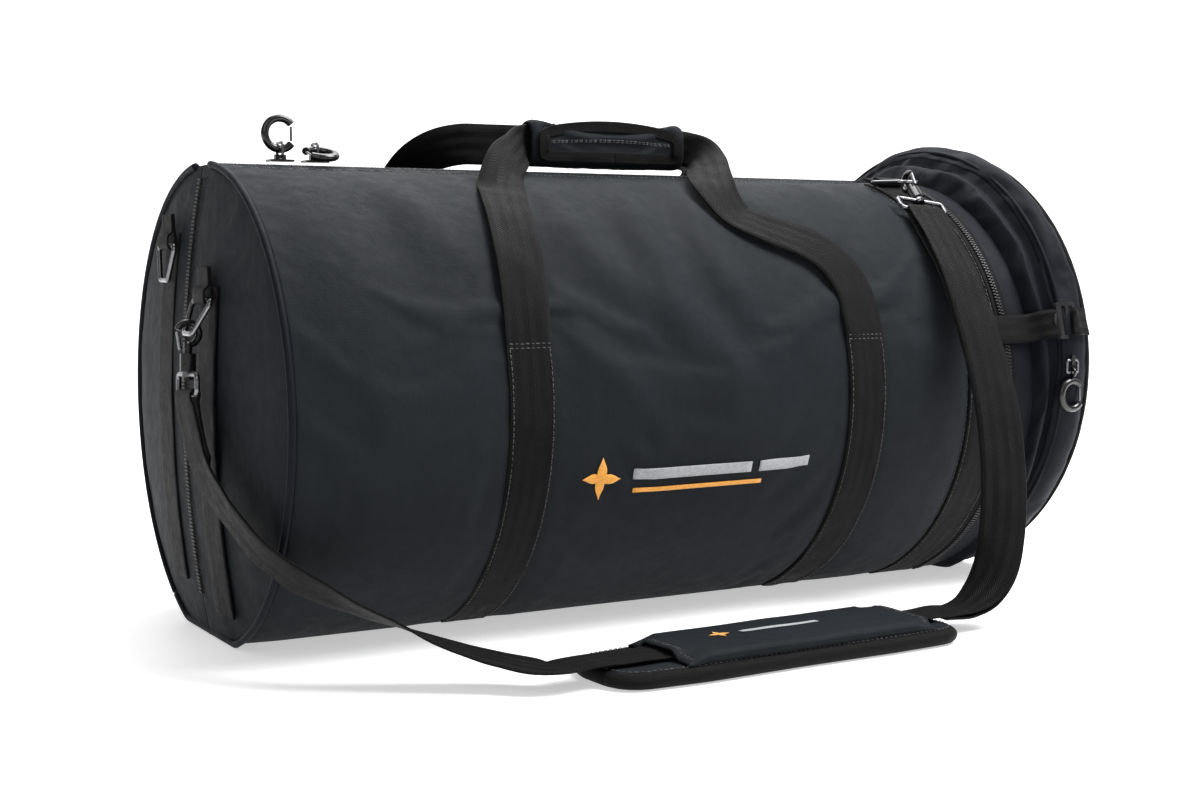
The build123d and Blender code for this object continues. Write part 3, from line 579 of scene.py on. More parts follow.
def sheet_of(n, m, point):
    """Places, texture places and pin weights of an n by m sheet, from point(i, j)."""
    P, uv, w = np.zeros((n, m, 3)), np.zeros((n, m, 2)), np.zeros((n, m))
    for i in range(n):
        for j in range(m):
            P[i, j], uv[i, j], w[i, j] = point(i, j)
    return P, uv, w


NX, NA = 118, 206
SEAM_HALF, SEAM_LIFT = 0.0215, {4.7: 0.0009, 6.2: 0.0024, 7.6: 0.0024, 9.0: 0.0016}
OPEN_EDGE = 210                 # angle of the hinge line under the bag
xs = np.linspace(LEFT + 0.0015, RIGHT, NX)
xs[np.argmin(abs(xs - ZIP_X))] = ZIP_X
angs = np.concatenate([[4.7, 6.2, 7.6, 9.0], np.linspace(10.6, 349.4, NA - 8), [351.0, 352.4, 353.8, 355.3]])


def tube_point(i, j):
    """Sewn places lie on the foam; the cloth between them stands off it, with folds."""
    x, a = xs[i], angs[j]
    sa = a if a < 180 else a - 360
    e = abs(sa)
    r = R + 0.0005
    if e <= 9.0 and x < BAND_X + 0.0005:
        r = R + SEAM_LIFT[round(e, 1)]
    sewn_down = any(abs(x - h) < SEAM_HALF for h in HANDLE_X) and 69 < e
    held = e < 9.3 or x < LEFT + 0.006 or x > BAND_X or sewn_down or abs(a - OPEN_EDGE) < 2.2
    if not held:
        near = min([abs(x - h) - SEAM_HALF for h in HANDLE_X]) if e > 66 else 1.0
        free = min(1.0, (x - LEFT - 0.006) / 0.030) * min(1.0, (BAND_X - x) / 0.022) * min(1.0, (e - 9) / 9)
        free = max(0.0, free) ** 0.7 * min(1.0, 0.15 + max(0.0, near) / 0.030)
        low = clamp((172 - e) / 30)
        gap = leg_gap(x, sa)
        d = noise.noise(Vector((x * 7 + sa * 0.03, sa * 0.045 - x * 5, 3.3)))
        lift = (0.0034 + 0.0012 * d + 1.5 * fold_height(x, sa)) * free * low
        r += max(0.0002, lift * gap + min(lift, 0.0018) * (1 - gap))
    p = around(x, a, r)
    p.z = max(p.z, 0.0013)
    return p, (x, math.radians(a) * R), held or p.z < 0.004


P0, UV0, W = sheet_of(NX, NA, tube_point)
tube = grid("tube_cloth", P0, UV0, "cloth")
pin(tube, W.ravel())

# ---------- the loose end: gusset folds and end section
# x and radius
prof = [
    (0.3208, 0.1890), (0.3236, 0.1955), (0.3272, 0.2008), (0.3310, 0.2012), (0.3340, 0.1972),
    (0.3362, 0.1918), (0.3388, 0.1915), (0.3408, 0.1970), (0.3432, 0.2008), (0.3466, 0.2046),
    (0.3508, 0.2064), (0.3556, 0.2070), (0.3604, 0.2068), (0.3652, 0.2060), (0.3698, 0.2046),
    (0.3736, 0.2030), (0.3762, 0.2014), (0.3782, 0.1975), (0.3800, 0.1900), (0.3815, 0.1780),
    (0.3828, 0.1600), (0.3838, 0.1350), (0.3846, 0.1050), (0.3850, 0.0700), (0.3853, 0.0350),
    (0.3854, 0.00005)]
EA = 200
PIPE_ROW = 16                   # the outer piping is sewn on at this row
along_prof = np.concatenate([[0], np.cumsum(np.hypot(*np.diff(prof, axis=0).T))])


def end_point(i, j):
    x, r = prof[i]
    t = math.radians(j * 360 / EA)
    m = clamp((x - RIGHT) / 0.0225)
    zc = ZC + (EZ - ZC) * m * m * (3 - 2 * m)
    near = max(0.0, 1 - abs(x - 0.350) / 0.03)
    top = 0.5 + 0.5 * math.cos(t)
    k = noise.noise(Vector((math.sin(t) * 2.6, math.cos(t) * 2.6, x * 40)))
    rr = r + near * (0.0035 * top ** 2 + 0.0035 * k)
    if 0 < i < PIPE_ROW:
        x += 0.0022 * noise.noise(Vector((math.sin(t) * 3.4, math.cos(t) * 3.4, 9 + x * 20)))
    place = (x, -rr * math.sin(t), max(0.0022, zc + rr * math.cos(t)))
    return place, (along_prof[i], t * ER), i in (0, PIPE_ROW) or i > 18


PE, UE, WE = sheet_of(len(prof), EA, end_point)
end_cloth = grid("end_section_cloth", PE, UE, "smooth", close_v=True)
pin(end_cloth, WE.ravel())

# ---------- shoulder pad and grip
PAD_MID = Vector((-0.040, -0.292, 0))
PAD_TURN = math.radians(2)
PU = Vector((math.cos(PAD_TURN), math.sin(PAD_TURN), 0))
PV = Vector((-math.sin(PAD_TURN), math.cos(PAD_TURN), 0))
PAD_HALF = 0.163
CORNER = 0.026


def pad_width(u):
    """Half width of the pad along its length, u from -1 to 1."""
    w = float(np.interp(u, (-1, -0.55, 0, 0.55, 1), (0.040, 0.0462, 0.0450, 0.0472, 0.0450)))
    short = CORNER - (1 - abs(u)) * PAD_HALF
    return w - (CORNER - math.sqrt(max(0.0, CORNER ** 2 - short ** 2)) if short > 0 else 0.0)


def spread(t):
    """Maps -1..1 to itself with closer steps near the ends."""
    return 0.45 * t + 0.55 * math.sin(math.pi / 2 * t)


def pad_place(d, w, z=0.0):
    """A point d along the pad's middle line, w across it and z above the floor."""
    return PAD_MID + PU * d + PV * w + Vector((0, 0, z))


def pad_point(u, v, z):
    return pad_place(u * PAD_HALF, v * pad_width(u), z)


PN, PM = 74, 30


def pad_grid(i, j):
    u, v = spread(-1 + 2 * i / (PN - 1)), -1 + 2 * j / (PM - 1)
    return u, v, min(1 - abs(v), (1 - abs(u)) * 3.2)


def pad_top_point(i, j):
    """The padded top: pinned at the rim, under the strap and under the sleeve."""
    u, v, rim = pad_grid(i, j)
    z = 0.0062 + 0.0068 * min(1.0, rim / 0.18) ** 0.5 + 0.0006 * noise.noise(Vector((u * 9, v * 4, 1)))
    d = v * pad_width(u)
    held = rim < 0.05 or abs(d) < 0.027 or -0.68 < u < 0.84
    return pad_point(u, v, z), (u * PAD_HALF, d), held


PP, UP, WP = sheet_of(PN, PM, pad_top_point)
pad_top = grid("pad_top", PP, UP, "cloth", flip=True)
pin(pad_top, WP.ravel())

GX0, GX1 = -0.0965, 0.0595
GRIP_Y, GRIP_Z = 0.0132, 0.0205 # the grip's half thickness and half height
GRIP_UP = 0.4045                # height of its middle
GN, GM = 56, 60
SQUARE = 3.2                    # power of the grip's rounded rectangle


def grip_point(i, j):
    u, t = i / (GN - 1), 2 * math.pi * j / GM
    x = GX0 + (GX1 - GX0) * u
    e = min(u, 1 - u) * (GX1 - GX0)
    ends = math.sqrt(max(0.0, 1 - (1 - min(1.0, e / 0.006)) ** 2)) * 0.1 + 0.9
    c, s = math.cos(t), math.sin(t)
    q = (abs(c) ** SQUARE + abs(s) ** SQUARE) ** (-1 / SQUARE)
    held = i < 3 or i > GN - 4 or s < -0.93
    return (x, GRIP_Y * q * c * ends, GRIP_UP + GRIP_Z * q * s * ends), (x, t * 0.018), held


GP, UG, WG = sheet_of(GN, GM, grip_point)
grip = grid("grip_cloth", GP, UG, "cloth", close_v=True)
pin(grip, WG.ravel())


# ---------- run the cloth
rows, cols = np.linspace(LEFT - 0.01, 0.33, 44), np.linspace(0, 360, 121)[:-1]
C = np.array([[around(x, a, R - 0.0022) for a in cols] for x in rows])
core = grid("core", C, np.zeros(C.shape[:2] + (2,)), None, close_v=True)
rings = [(0.3445 + 0.004 * k, 0.1995) for k in range(9)]
rings += [(0.3790, 0.19), (0.3815, 0.15), (0.3830, 0.08), (0.3835, 0.01)]
C2 = np.array([[around(x, a, r, EZ) for a in cols] for x, r in rings])
core2 = grid("core2", C2, np.zeros(C2.shape[:2] + (2,)), None, close_v=True)
for c in (core, core2):
    collider(c)
cloth(tube, -0.008, 1.5, 22, 0.6)
cloth(end_cloth, -0.020, 0.5, 14, 0.4)
cloth(pad_top, -0.02, 0.3, 14, 7.0)
cloth(grip, -0.02, 0.3, 14, 4.0)
simulate([tube, end_cloth, pad_top, grip], [core, core2], 22)

# the tube's cloth stays close to the drawn folds, and above the foam and the floor
PT = coords_of(tube, NX, NA)
ANG = np.arctan2(-PT[:, :, 1], PT[:, :, 2] - ZC)
RAD = np.hypot(PT[:, :, 1], PT[:, :, 2] - ZC)
drawn = np.hypot(P0[:, :, 1], P0[:, :, 2] - ZC)
RAD = np.maximum(drawn + np.clip(RAD - drawn, -0.0012, 0.0018), R + 0.0003)
keep = W < 0.5
PT[:, :, 0] = np.where(keep, np.clip(PT[:, :, 0], xs[:, None] - 0.004, xs[:, None] + 0.004), PT[:, :, 0])
PT[:, :, 1] = np.where(keep, -RAD * np.sin(ANG), PT[:, :, 1])
PT[:, :, 2] = np.where(keep, ZC + RAD * np.cos(ANG), PT[:, :, 2])
PT[:, :, 2] = np.maximum(PT[:, :, 2], 0.0012)
# so does the end section's, which also clears its foam
PS = coords_of(end_cloth, len(prof), EA)
shift = PS - PE
far = np.linalg.norm(shift, axis=2)[:, :, None] + 1e-9
PS = PE + shift * np.minimum(1.0, 0.0032 / far)
cy, cz = PS[9:19, :, 1], PS[9:19, :, 2] - EZ
grow = np.maximum(1.0, 0.2034 / np.hypot(cy, cz))
PS[9:19, :, 1], PS[9:19, :, 2] = cy * grow, EZ + cz * grow
PS[:, :, 2] = np.maximum(PS[:, :, 2], 0.0026)
NT = np.cross(np.gradient(PT, axis=1), np.gradient(PT, axis=0))
NT /= np.linalg.norm(NT, axis=2)[:, :, None] + 1e-12


def skin(x, a, out=0.0):
    """A point on the outer cloth of the tube and its outward normal."""
    a = a % 360
    fi = float(np.interp(x, xs, np.arange(NX)))
    fj = float(np.interp(a, angs, np.arange(NA)))
    i, j = min(int(fi), NX - 2), min(int(fj), NA - 2)
    u, v = fi - i, fj - j
    mixw = ((1 - u) * (1 - v), (1 - u) * v, u * (1 - v), u * v)
    quad = ((i, j), (i, j + 1), (i + 1, j), (i + 1, j + 1))
    p = sum(w * PT[q] for w, q in zip(mixw, quad))
    n = sum(w * NT[q] for w, q in zip(mixw, quad))
    if n @ np.array(out_of(a)) < 0:
        n = -n
    n = n / np.linalg.norm(n)
    return Vector(p + n * out), Vector(n)


CLOTH = 0.0012


def sheet_part(name, P, uv, mat, close_v=False):
    """A smoothed piece of simulated cloth, with its thickness inward."""
    o = grid(name, P, uv, mat, close_v=close_v)
    smoothen(o, 1)
    apply_mods(o)
    solid(o, CLOTH, -1.0)
    return apply_mods(o)


cut = int(np.argmin(abs(angs - 205)))
band = int(np.argmin(abs(xs - ZIP_X)))
front_cloth = sheet_part("front_cloth", PT[:, :cut + 1], UV0[:, :cut + 1], "cloth")
rear_cloth = sheet_part("rear_cloth", PT[:band + 1, cut:], UV0[:band + 1, cut:], "cloth")
band_places = PT[band:, cut:].copy()
band_places[0, :, 0] += 0.0018   # clear of the opening half
band_cloth = sheet_part("band_cloth_rear", band_places, UV0[band:, cut:], "smooth")
bpy.data.objects.remove(tube)

# the band and collar zone is smoother cloth
for o in (front_cloth, rear_cloth):
    o.data.materials.append(M["smooth"])
    for q in o.data.polygons:
        if q.center.x > BAND_X + 0.0007:
            q.material_index = 1
dress(front_cloth, "case", "case_cloth", "front_shell_fabric", "end_band_fabric")
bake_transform(rear_cloth)
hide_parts("rear_shell_fabric")
dress(band_cloth, "case", "case_cloth", "end_band_fabric")

# ---------- end section looks
bpy.data.objects.remove(end_cloth)
end_cloth = sheet_part("end_section_cloth", PS[7:], UE[7:], "smooth", close_v=True)
dress(end_cloth, "end_section", "case_cloth", "end_section_fabric")
gusset = grid("gusset_cloth", PS[:8], UE[:8], "smooth", close_v=True)
smoothen(gusset, 2)
apply_mods(gusset)
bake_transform(gusset)
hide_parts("gusset")

# ---------- left end
CN, CM = 34, 180


def cap_height(y, z):
    """How far the end cloth stands off the dome: soft puckers that die out at every seam."""
    rho = math.hypot(y, z - ZC)
    t = math.atan2(y, z - ZC)
    rim = max(0.0, 1 - (R - rho) / 0.05)
    fold = noise.noise(Vector((math.sin(t) * 7, math.cos(t) * 7, 2.0))) * 0.0013 * rim
    soft = noise.noise(Vector((y * 16, z * 12, 5.0))) * 0.0012
    free = min(1.0, abs(y) / 0.03) * min(1.0, (R - rho) / 0.012)
    return 0.0004 + max(0.0, free) * (0.0008 + fold + soft)


def cap_sheet(name, to_angle):
    """Half of the end cloth, from the top round to an angle."""
    def point(i, j):
        rho = (R + 0.0002) * (i / (CN - 1)) ** 0.8
        t = math.radians(to_angle * j / (CM - 1))
        y, z = -rho * math.sin(t), max(0.0016, ZC + rho * math.cos(t))
        return (dome(y, z, cap_height(y, z)), y, z), (y, z), 0.0
    Q, U, _ = sheet_of(CN, CM, point)
    return apply_mods(solid(grid(name, Q, U, "cloth", flip=to_angle < 0), CLOTH, -1.0))


cap_front = cap_sheet("left_end_cloth_front", 180)
dress(cap_front, "case", "case_cloth", "front_end_fabric")
cap_rear = cap_sheet("left_end_cloth_rear", -180)
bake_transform(cap_rear)
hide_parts("rear_end_fabric")

RIM_STEPS, CORD_LIFT, CORD_R = 120, 0.0012, 0.0029
for half, a0, a1, body in (("front", 5.6, 209, "case"), ("rear", -5.6, -149.6, "rear_lid")):
    rim = [around(LEFT - 0.0008, a0 + (a1 - a0) * k / RIM_STEPS, R + CORD_LIFT) for k in range(RIM_STEPS + 1)]
    rim = [Vector((p.x, p.y, max(p.z, 0.0036))) for p in rim]
    piping = tube_line("end_piping_cord_" + half, rim, CORD_R, "smooth", step=0.004)
    dress(piping, body, "case_cloth", "end_piping_" + half)

for name, x, grow, low, r, mat in (("end_section_piping", 0.3768, 1.0, 0.0042, 0.0027, "binding"),
                                   ("end_section_inner_piping", 0.3462, 1.0109, 0.0040, 0.0021, "smooth")):
    ring = []
    for k in range(160):
        t = math.radians(k * 360 / 160)
        y, up = -0.2022 * math.sin(t), max(0.0042 - EZ, 0.2022 * math.cos(t))
        ring.append(Vector((x, y * grow, max(low, EZ + up * grow))))
    dress(tube_line(name, ring, r, mat, closed=True, step=0.005), "end_section", "case_cloth")

# ---------- zips
def teeth_mesh(name, places, size):
    """Small rounded blocks at (point, along, normal)."""
    verts, faces, uvs = [], [], []
    hx, hy, hz = (s / 2 for s in size)
    for p, t, n in places:
        t, n = Vector(t).normalized(), Vector(n).normalized()
        s = n.cross(t)
        b = len(verts)
        for dz, k in ((-hz, 1.0), (hz * 0.55, 1.0), (hz, 0.72)):
            for dx, dy in ((-1, -1), (1, -1), (1, 1), (-1, 1)):
                verts.append(Vector(p) + t * (dx * hx * k) + s * (dy * hy * k) + n * dz)
                uvs.append((dx * hx, dy * hy))
        for g in (0, 4):
            for k in range(4):
                k2 = (k + 1) % 4
                faces.append((b + g + k, b + g + k2, b + g + 4 + k2, b + g + 4 + k))
        faces.append((b + 8, b + 9, b + 10, b + 11))
    return make(name, verts, faces, uvs, "teeth", smooth=False)


TOOTH_Z = ZC + R + 0.0008 + 0.0009
PITCH = 0.0030
for half, side, body in (("front", 1, "case"), ("rear", -1, "rear_lid")):
    places = []
    for k in range(int((0.279 - LEFT - 0.006) / PITCH)):
        x = LEFT + 0.007 + PITCH * (k + (0 if side > 0 else 0.5))
        places.append(((x, -side * 0.0012, TOOTH_Z), (1, 0, 0), (0, 0, 1)))
    for k in range(int(0.334 / PITCH)):
        z = 0.036 + PITCH * k
        places.append(((dome(0, z, 0.0017), -side * 0.0018, z), (0, 0, 1), (-1, 0, 0.02)))
    chain = teeth_mesh("main_zip_chain_" + half, places, (0.0015, 0.0034, 0.0017))
    dress(chain, body, "zip_teeth", "main_zip_teeth_" + half)


def zip_round(name, x_tape0, x_tape1, x_tooth, a0, a1, shift, body, replaced):
    """Tape and teeth of a zip round the tube, between two angles."""
    arr = []
    for k in range(int((a1 - a0) / 1.5) + 1):
        a = a0 + 1.5 * k
        p = around((x_tape0 + x_tape1) / 2, a, R + 0.0016)
        p.z = max(p.z, 0.0022)
        arr.append((p, out_of(a), abs(x_tape1 - x_tape0)))
    tape = ribbon(name + "_tape", arr, 0.0012, 0.006, "tape", 0.0)
    places = []
    step = math.degrees(PITCH / R)
    for k in range(int((a1 - a0 - 1) / step)):
        a = a0 + 0.5 + step * (k + shift)
        t = Vector((0, -math.cos(math.radians(a)), -math.sin(math.radians(a))))
        tooth = around(x_tooth, a, R + 0.0029)
        if tooth.z > 0.0045:
            places.append((tooth, t, out_of(a)))
    dress(tape, body, "zip_tape")
    dress(teeth_mesh(name + "_chain", places, (0.0015, 0.0032, 0.0016)), body, "zip_teeth", replaced)


zip_round("end_zip_case", 0.2921, 0.3000, 0.2925, -165, 165, 0, "case", "end_zip_case_side")
zip_round("end_zip_front", 0.2838, 0.2906, 0.2897, 8, 165, 0.5, "case", "end_zip_case_side")
zip_round("end_zip_lid", 0.2838, 0.2906, 0.2897, -143, -8, 0.5, "rear_lid", "end_zip_lid_side")

# ---------- webbing on the tube
WT = 0.0018
WEB_W = 0.040
LEG_R = R + 0.0036              # a loose leg lies this far from the axis at its ends
LEG_STEPS = (72.5, 68, 62, 55, 47, 39, 31)


def leg_up(x_low, x_high, angles, side=1):
    """Stations of a handle's leg from its anchor up the tube, bowed off the cloth between."""
    n = len(angles) - 1
    rows = []
    for k, a in enumerate(angles):
        lift = 0.0035 * math.sin(math.pi * k / n) ** 0.7
        x = x_low + (x_high - x_low) * (k / n) ** 2
        rows.append((around(x, side * a, LEG_R + lift), out_of(side * a), WEB_W))
    return rows


def along_tube(x, a0, a1, out, w, steps):
    """Stations of webbing that lies on the cloth between two angles."""
    rows = []
    for k in range(steps + 1):
        a = a0 + (a1 - a0) * k / steps
        p = around(x, a, R + out)
        p.z = max(p.z, 0.0026)
        rows.append((p, out_of(a), w))
    return rows


def anchor(x, a0, a1):
    return along_tube(x, a0, a1, 0.0021, WEB_W, 8)


def handle(name, path):
    web = ribbon(name + "_webbing", path, WT, 0.004, "webbing", 0.0006)
    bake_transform(web)
    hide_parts(name, name + "_anchors")


# each station: point, normal and width
over_left = [((-0.146, -0.058, 0.383), (0.42, -0.62, 0.66), 0.038),
             ((-0.124, -0.034, 0.394), (0.42, -0.8, 0.42), 0.035),
             ((-0.098, -0.002, GRIP_UP), (0.05, -1, 0), 0.032)]
across = [((x, 0, GRIP_UP), (0, -1, 0), 0.032) for x in (-0.06, 0.03)]
over_right = [((0.061, -0.001, GRIP_UP), (0, -1, 0), 0.032),
              ((0.066, -0.001, 0.4043), (-0.12, -1, 0), 0.032),
              ((0.072, -0.018, 0.399), (-0.75, -0.6, 0.3), 0.034),
              ((0.062, -0.045, 0.389), (-0.55, -0.3, 0.78), 0.037),
              ((0.046, -0.074, 0.3775), (-0.3, -0.33, 0.9), 0.039),
              ((0.037, -0.099, 0.3635), (-0.1, -0.5, 0.86), WEB_W)]
slack_leg = [(around(x, a, LEG_R + 0.0030 * math.sin(math.pi * k / 9) ** 0.7), out_of(a), WEB_W)
             for k, (x, a) in enumerate(SLACK)]
path = anchor(-0.193, 160, 76) + leg_up(-0.193, -0.163, LEG_STEPS + (25,)) + over_left + across + over_right
handle("front_handle", path + slack_leg[::-1] + anchor(0.131, 76, 160))

over = [((-0.181, 0.074, 0.378), (0.2, 0.5, 0.84), 0.039), ((-0.170, 0.054, 0.394), (0.5, 0.7, 0.5), 0.037),
        ((-0.148, 0.038, 0.403), (0.5, 0.86, 0.1), 0.036), ((-0.110, 0.031, 0.404), (0.1, 1, 0), 0.036),
        ((0.050, 0.031, 0.404), (0, 1, 0), 0.036), ((0.088, 0.037, 0.405), (-0.5, 0.86, 0.1), 0.036),
        ((0.112, 0.055, 0.398), (-0.6, 0.6, 0.45), 0.037), ((0.122, 0.078, 0.380), (-0.25, 0.5, 0.83), 0.039)]
path = anchor(-0.193, -144, -76) + leg_up(-0.193, -0.184, LEG_STEPS, -1) + over
path += leg_up(0.131, 0.122, LEG_STEPS, -1)[::-1] + anchor(0.131, -76, -144)
handle("rear_handle", path)

for half, a0, a1, body in (("front", 12.5, 163, "case"), ("rear", -144, -12.5, "rear_lid")):
    rows = along_tube(COLLAR_X, a0, a1, 0.0016, 0.0392, int((a1 - a0) / 2))
    dress(ribbon("collar_webbing_" + half, rows, WT, 0.005, "webbing", 0.0003), body, "webbing")


def fold_over(bar, down, out, length, w, lift):
    """Stations of webbing folded round a bar: up the base, round the bar and back on top."""
    bend, top = 0.0031, 0.0016
    bar, down, out = Vector(bar), Vector(down).normalized(), Vector(out).normalized()
    rows = [(bar - down * length - out * lift, out), (bar - down * (length * 0.55) - out * lift, out),
            (bar - down * 0.009 - out * (lift * 0.9 + bend * 0.1), out)]
    for q in (-90, -45, 0, 45, 90):
        t = math.radians(q)
        d = down * math.cos(t) + out * math.sin(t)
        rows.append((bar + d * bend, -d))
    rows += [(bar - down * 0.008 + out * (bend * 0.75), -out),
             (bar - down * (length * 0.45) - out * (lift - top * 1.25), -out),
             (bar - down * (length * 0.98) - out * (lift - top), -out)]
    return [(p, n, w) for p, n in rows]


def tab(name, bar, down, out, body, replaced, length, lift):
    """Folded webbing that holds a ring."""
    rows = fold_over(bar, down, out, length, 0.027, lift)
    dress(ribbon(name, rows, 0.0014, 0.0014, "webbing", 0.0), body, "webbing", replaced)


RING_A, RING_R, BAR_OUT = 16.5, 0.1974, 0.0075
for half, side, body in (("front", 1, "case"), ("rear", -1, "rear_lid")):
    a = side * RING_A
    down = Vector((0, -side * math.cos(math.radians(RING_A)), -math.sin(math.radians(RING_A))))
    tab("collar_tab_" + half, around(COLLAR_X, a, RING_R), down, out_of(a), body, "collar_" + half, 0.022,
        RING_R - R - 0.0033)

for half, y, z_lo, bar_z, body in (("front", -0.055, 0.026, 0.272, "case"),
                                   ("rear", 0.050, 0.042, 0.314, "rear_lid")):
    rows = []
    for k in range(14):
        z = z_lo + (bar_z + 0.010 - z_lo) * k / 13
        rows.append(((dome(y, z, 0.0026), y, z), (-1, 0.02 * y / 0.05, 0), WEB_W))
    dress(ribbon("end_strip_webbing_" + half, rows, WT, 0.005, "webbing", 0.0003), body, "webbing")
    tab("end_tab_" + half, (dome(y, bar_z, BAR_OUT), y, bar_z), (0.05, 0, -1), (-1, 0, 0), body,
        "end_strip_" + half, 0.026, BAR_OUT - 0.0042)

# ---------- compression straps
COMP_W = 0.026
# x, how far out and height of each station, on the case and then past the ladder lock
TO_LOCK = ((0.290, 0.1878, 0.240), (0.306, 0.1878, 0.2402), (0.320, 0.1897, 0.2412),
           (0.330, 0.1985, 0.2445), (0.340, 0.2048, 0.2462))
FROM_LOCK = ((0.3545, 0.2068, 0.2470), (0.3585, 0.2094, 0.2472), (0.3640, 0.2060, 0.2466),
             (0.3740, 0.2042, 0.2462))
for half, side in (("front", 1), ("rear", -1)):
    n = (0, -side * 0.95, 0.3)
    rows = [(0.252, 0.1874, 0.240), *TO_LOCK] if side > 0 else [(0.302, 0.1874, 0.240), *TO_LOCK[1:]]
    rows = [((x, -side * y, z), n, COMP_W) for x, y, z in rows]
    o = ribbon("compression_strap_" + half, rows, 0.0016, 0.003, "webbing", 0.0003)
    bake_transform(o)
    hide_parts("compression_straps")
    lug = [((x, -side * y, z), n, COMP_W) for x, y, z in FROM_LOCK]
    dress(ribbon("lock_anchor_" + half, lug, 0.0016, 0.002, "webbing", 0.0), "end_section", "webbing")

# ---------- shoulder strap
LEAN = math.radians(25)
RING_H = 0.028
ring_l = Vector((dome(-0.055, 0.272, BAR_OUT), -0.055, 0.272))
ring_l += Vector((-math.sin(LEAN), 0, -math.cos(LEAN))) * RING_H
ring_r = around(COLLAR_X, RING_A, RING_R) + Vector((0, -RING_H, 0))
STEM = {"left": Vector((-0.04, -0.05, -1)).normalized(), "right": Vector((-0.22, -0.77, -0.6)).normalized()}
BAR = {"left": Vector((0, 1, 0)), "right": Vector((-1, 0, 0))}
EYE = {"left": ring_l, "right": ring_r}
STRAP_W = 0.038


def strap_run(name, side, run, second):
    """Strap from its swivel bar along run; the folded end lies inside it as far as station `second`."""
    stem = STEM[side]
    bar = EYE[side] + stem * 0.046
    across = (-stem).cross(BAR[side]).cross(-stem).normalized()
    out = across.cross(stem).normalized()
    if out.dot(Vector(run[0][1])) < 0:
        out = -out
    rows = []
    for k in range(second, 0, -1):
        p, n = run[k]
        n = Vector(n).normalized()
        rows.append((Vector(p) - n * (0.0026 + 0.0012 * math.sin(k)), n))
    rows.append((bar + stem * 0.009 - out * 0.0030, out))
    for q in (-90, -30, 30, 90):
        t = math.radians(q)
        d = -stem * math.cos(t) + out * math.sin(t)
        rows.append((bar + d * 0.0033, -d if q < 90 else -out))
    # the ribbon turns over at the bar, so the main run is listed with its inner face
    rows.append((bar + stem * 0.009 + out * 0.0024, -out))
    rows += [(Vector(p), -Vector(n).normalized()) for p, n in run]
    return ribbon(name, [(p, n, STRAP_W) for p, n in rows], WT, 0.0035, "webbing", 0.0006)


def on_pad(d):
    return pad_place(d, 0, 0.0166)


left_run = [((-0.4205, -0.062, 0.183), (-1, -0.02, -0.05)), ((-0.420, -0.074, 0.163), (-1, -0.05, -0.1)),
            ((-0.418, -0.092, 0.143), (-0.95, -0.1, -0.3)),
            ((-0.412, -0.124, 0.118), (-0.85, -0.3, -0.5)), ((-0.403, -0.160, 0.096), (-0.7, -0.5, -0.6)),
            ((-0.386, -0.192, 0.077), (-0.55, -0.5, -0.7)), ((-0.356, -0.216, 0.060), (-0.4, -0.35, -0.9)),
            ((-0.324, -0.238, 0.044), (-0.2, -0.2, -1)), ((-0.292, -0.258, 0.030), (-0.1, 0, -1)),
            ((-0.262, -0.278, 0.020), (0, 0, -1)), (on_pad(-PAD_HALF - 0.034), (0, 0, -1)),
            (on_pad(-PAD_HALF), (0, 0, -1)), (on_pad(-0.060), (0, 0, -1))]
right_run = [((0.245, -0.160, 0.316), (0, -0.7, 0.65)), ((0.239, -0.186, 0.288), (-0.1, -0.8, 0.5)),
             ((0.233, -0.212, 0.251), (-0.2, -0.9, 0.3)), ((0.228, -0.236, 0.209), (-0.3, -0.9, 0.2)),
             ((0.221, -0.257, 0.164), (-0.4, -0.9, 0)), ((0.212, -0.273, 0.118), (-0.5, -0.86, 0.05)),
             ((0.201, -0.284, 0.078), (-0.6, -0.75, 0.25)), ((0.189, -0.288, 0.046), (-0.6, -0.45, 0.6)),
             ((0.173, -0.287, 0.026), (-0.35, -0.2, 0.9)), (on_pad(PAD_HALF + 0.031), (0, 0, 1)),
             (on_pad(PAD_HALF), (0, 0, 1)), (on_pad(-0.058), (0, 0, 1))]
for side, run, second in (("left", left_run, 2), ("right", right_run, 10)):
    name = "strap_webbing_" + side
    dress(strap_run(name, side, run, second), "shoulder_strap", "webbing", "strap_webbing")

# ---------- shoulder pad
def pad_base_point(i, j):
    u, v, rim = pad_grid(i, j)
    return pad_point(u, v, 0.0062 - 0.0052 * min(1.0, rim / 0.12) ** 0.5), (0, 0), 0.0


PT2 = coords_of(pad_top, PN, PM)
bpy.data.objects.remove(pad_top)
top = grid("pad_cloth", PT2, UP, "cloth", flip=True)
base = grid("pad_low", sheet_of(PN, PM, pad_base_point)[0], UP, "cloth")
pad = join("pad_cloth", [top, base])
md = pad.modifiers.new("weld", "WELD")
md.merge_threshold = 0.0006
smoothen(pad, 1)
apply_mods(pad)


def pad_edge(f):
    """Place on the pad's outline, from 0 to 4 round it: the long sides take 1.6 each."""
    if f < 1.6:
        return spread(-1 + 2 * f / 1.6), -1
    if f < 2:
        return 1, -1 + 2 * (f - 1.6) / 0.4
    if f < 3.6:
        return spread(1 - 2 * (f - 2) / 1.6), 1
    return -1, 1 - 2 * (f - 3.6) / 0.4


def relax(line, times):
    """Rounds a closed line."""
    for _ in range(times):
        line = 0.25 * np.roll(line, 1, 0) + 0.5 * line + 0.25 * np.roll(line, -1, 0)
    return line


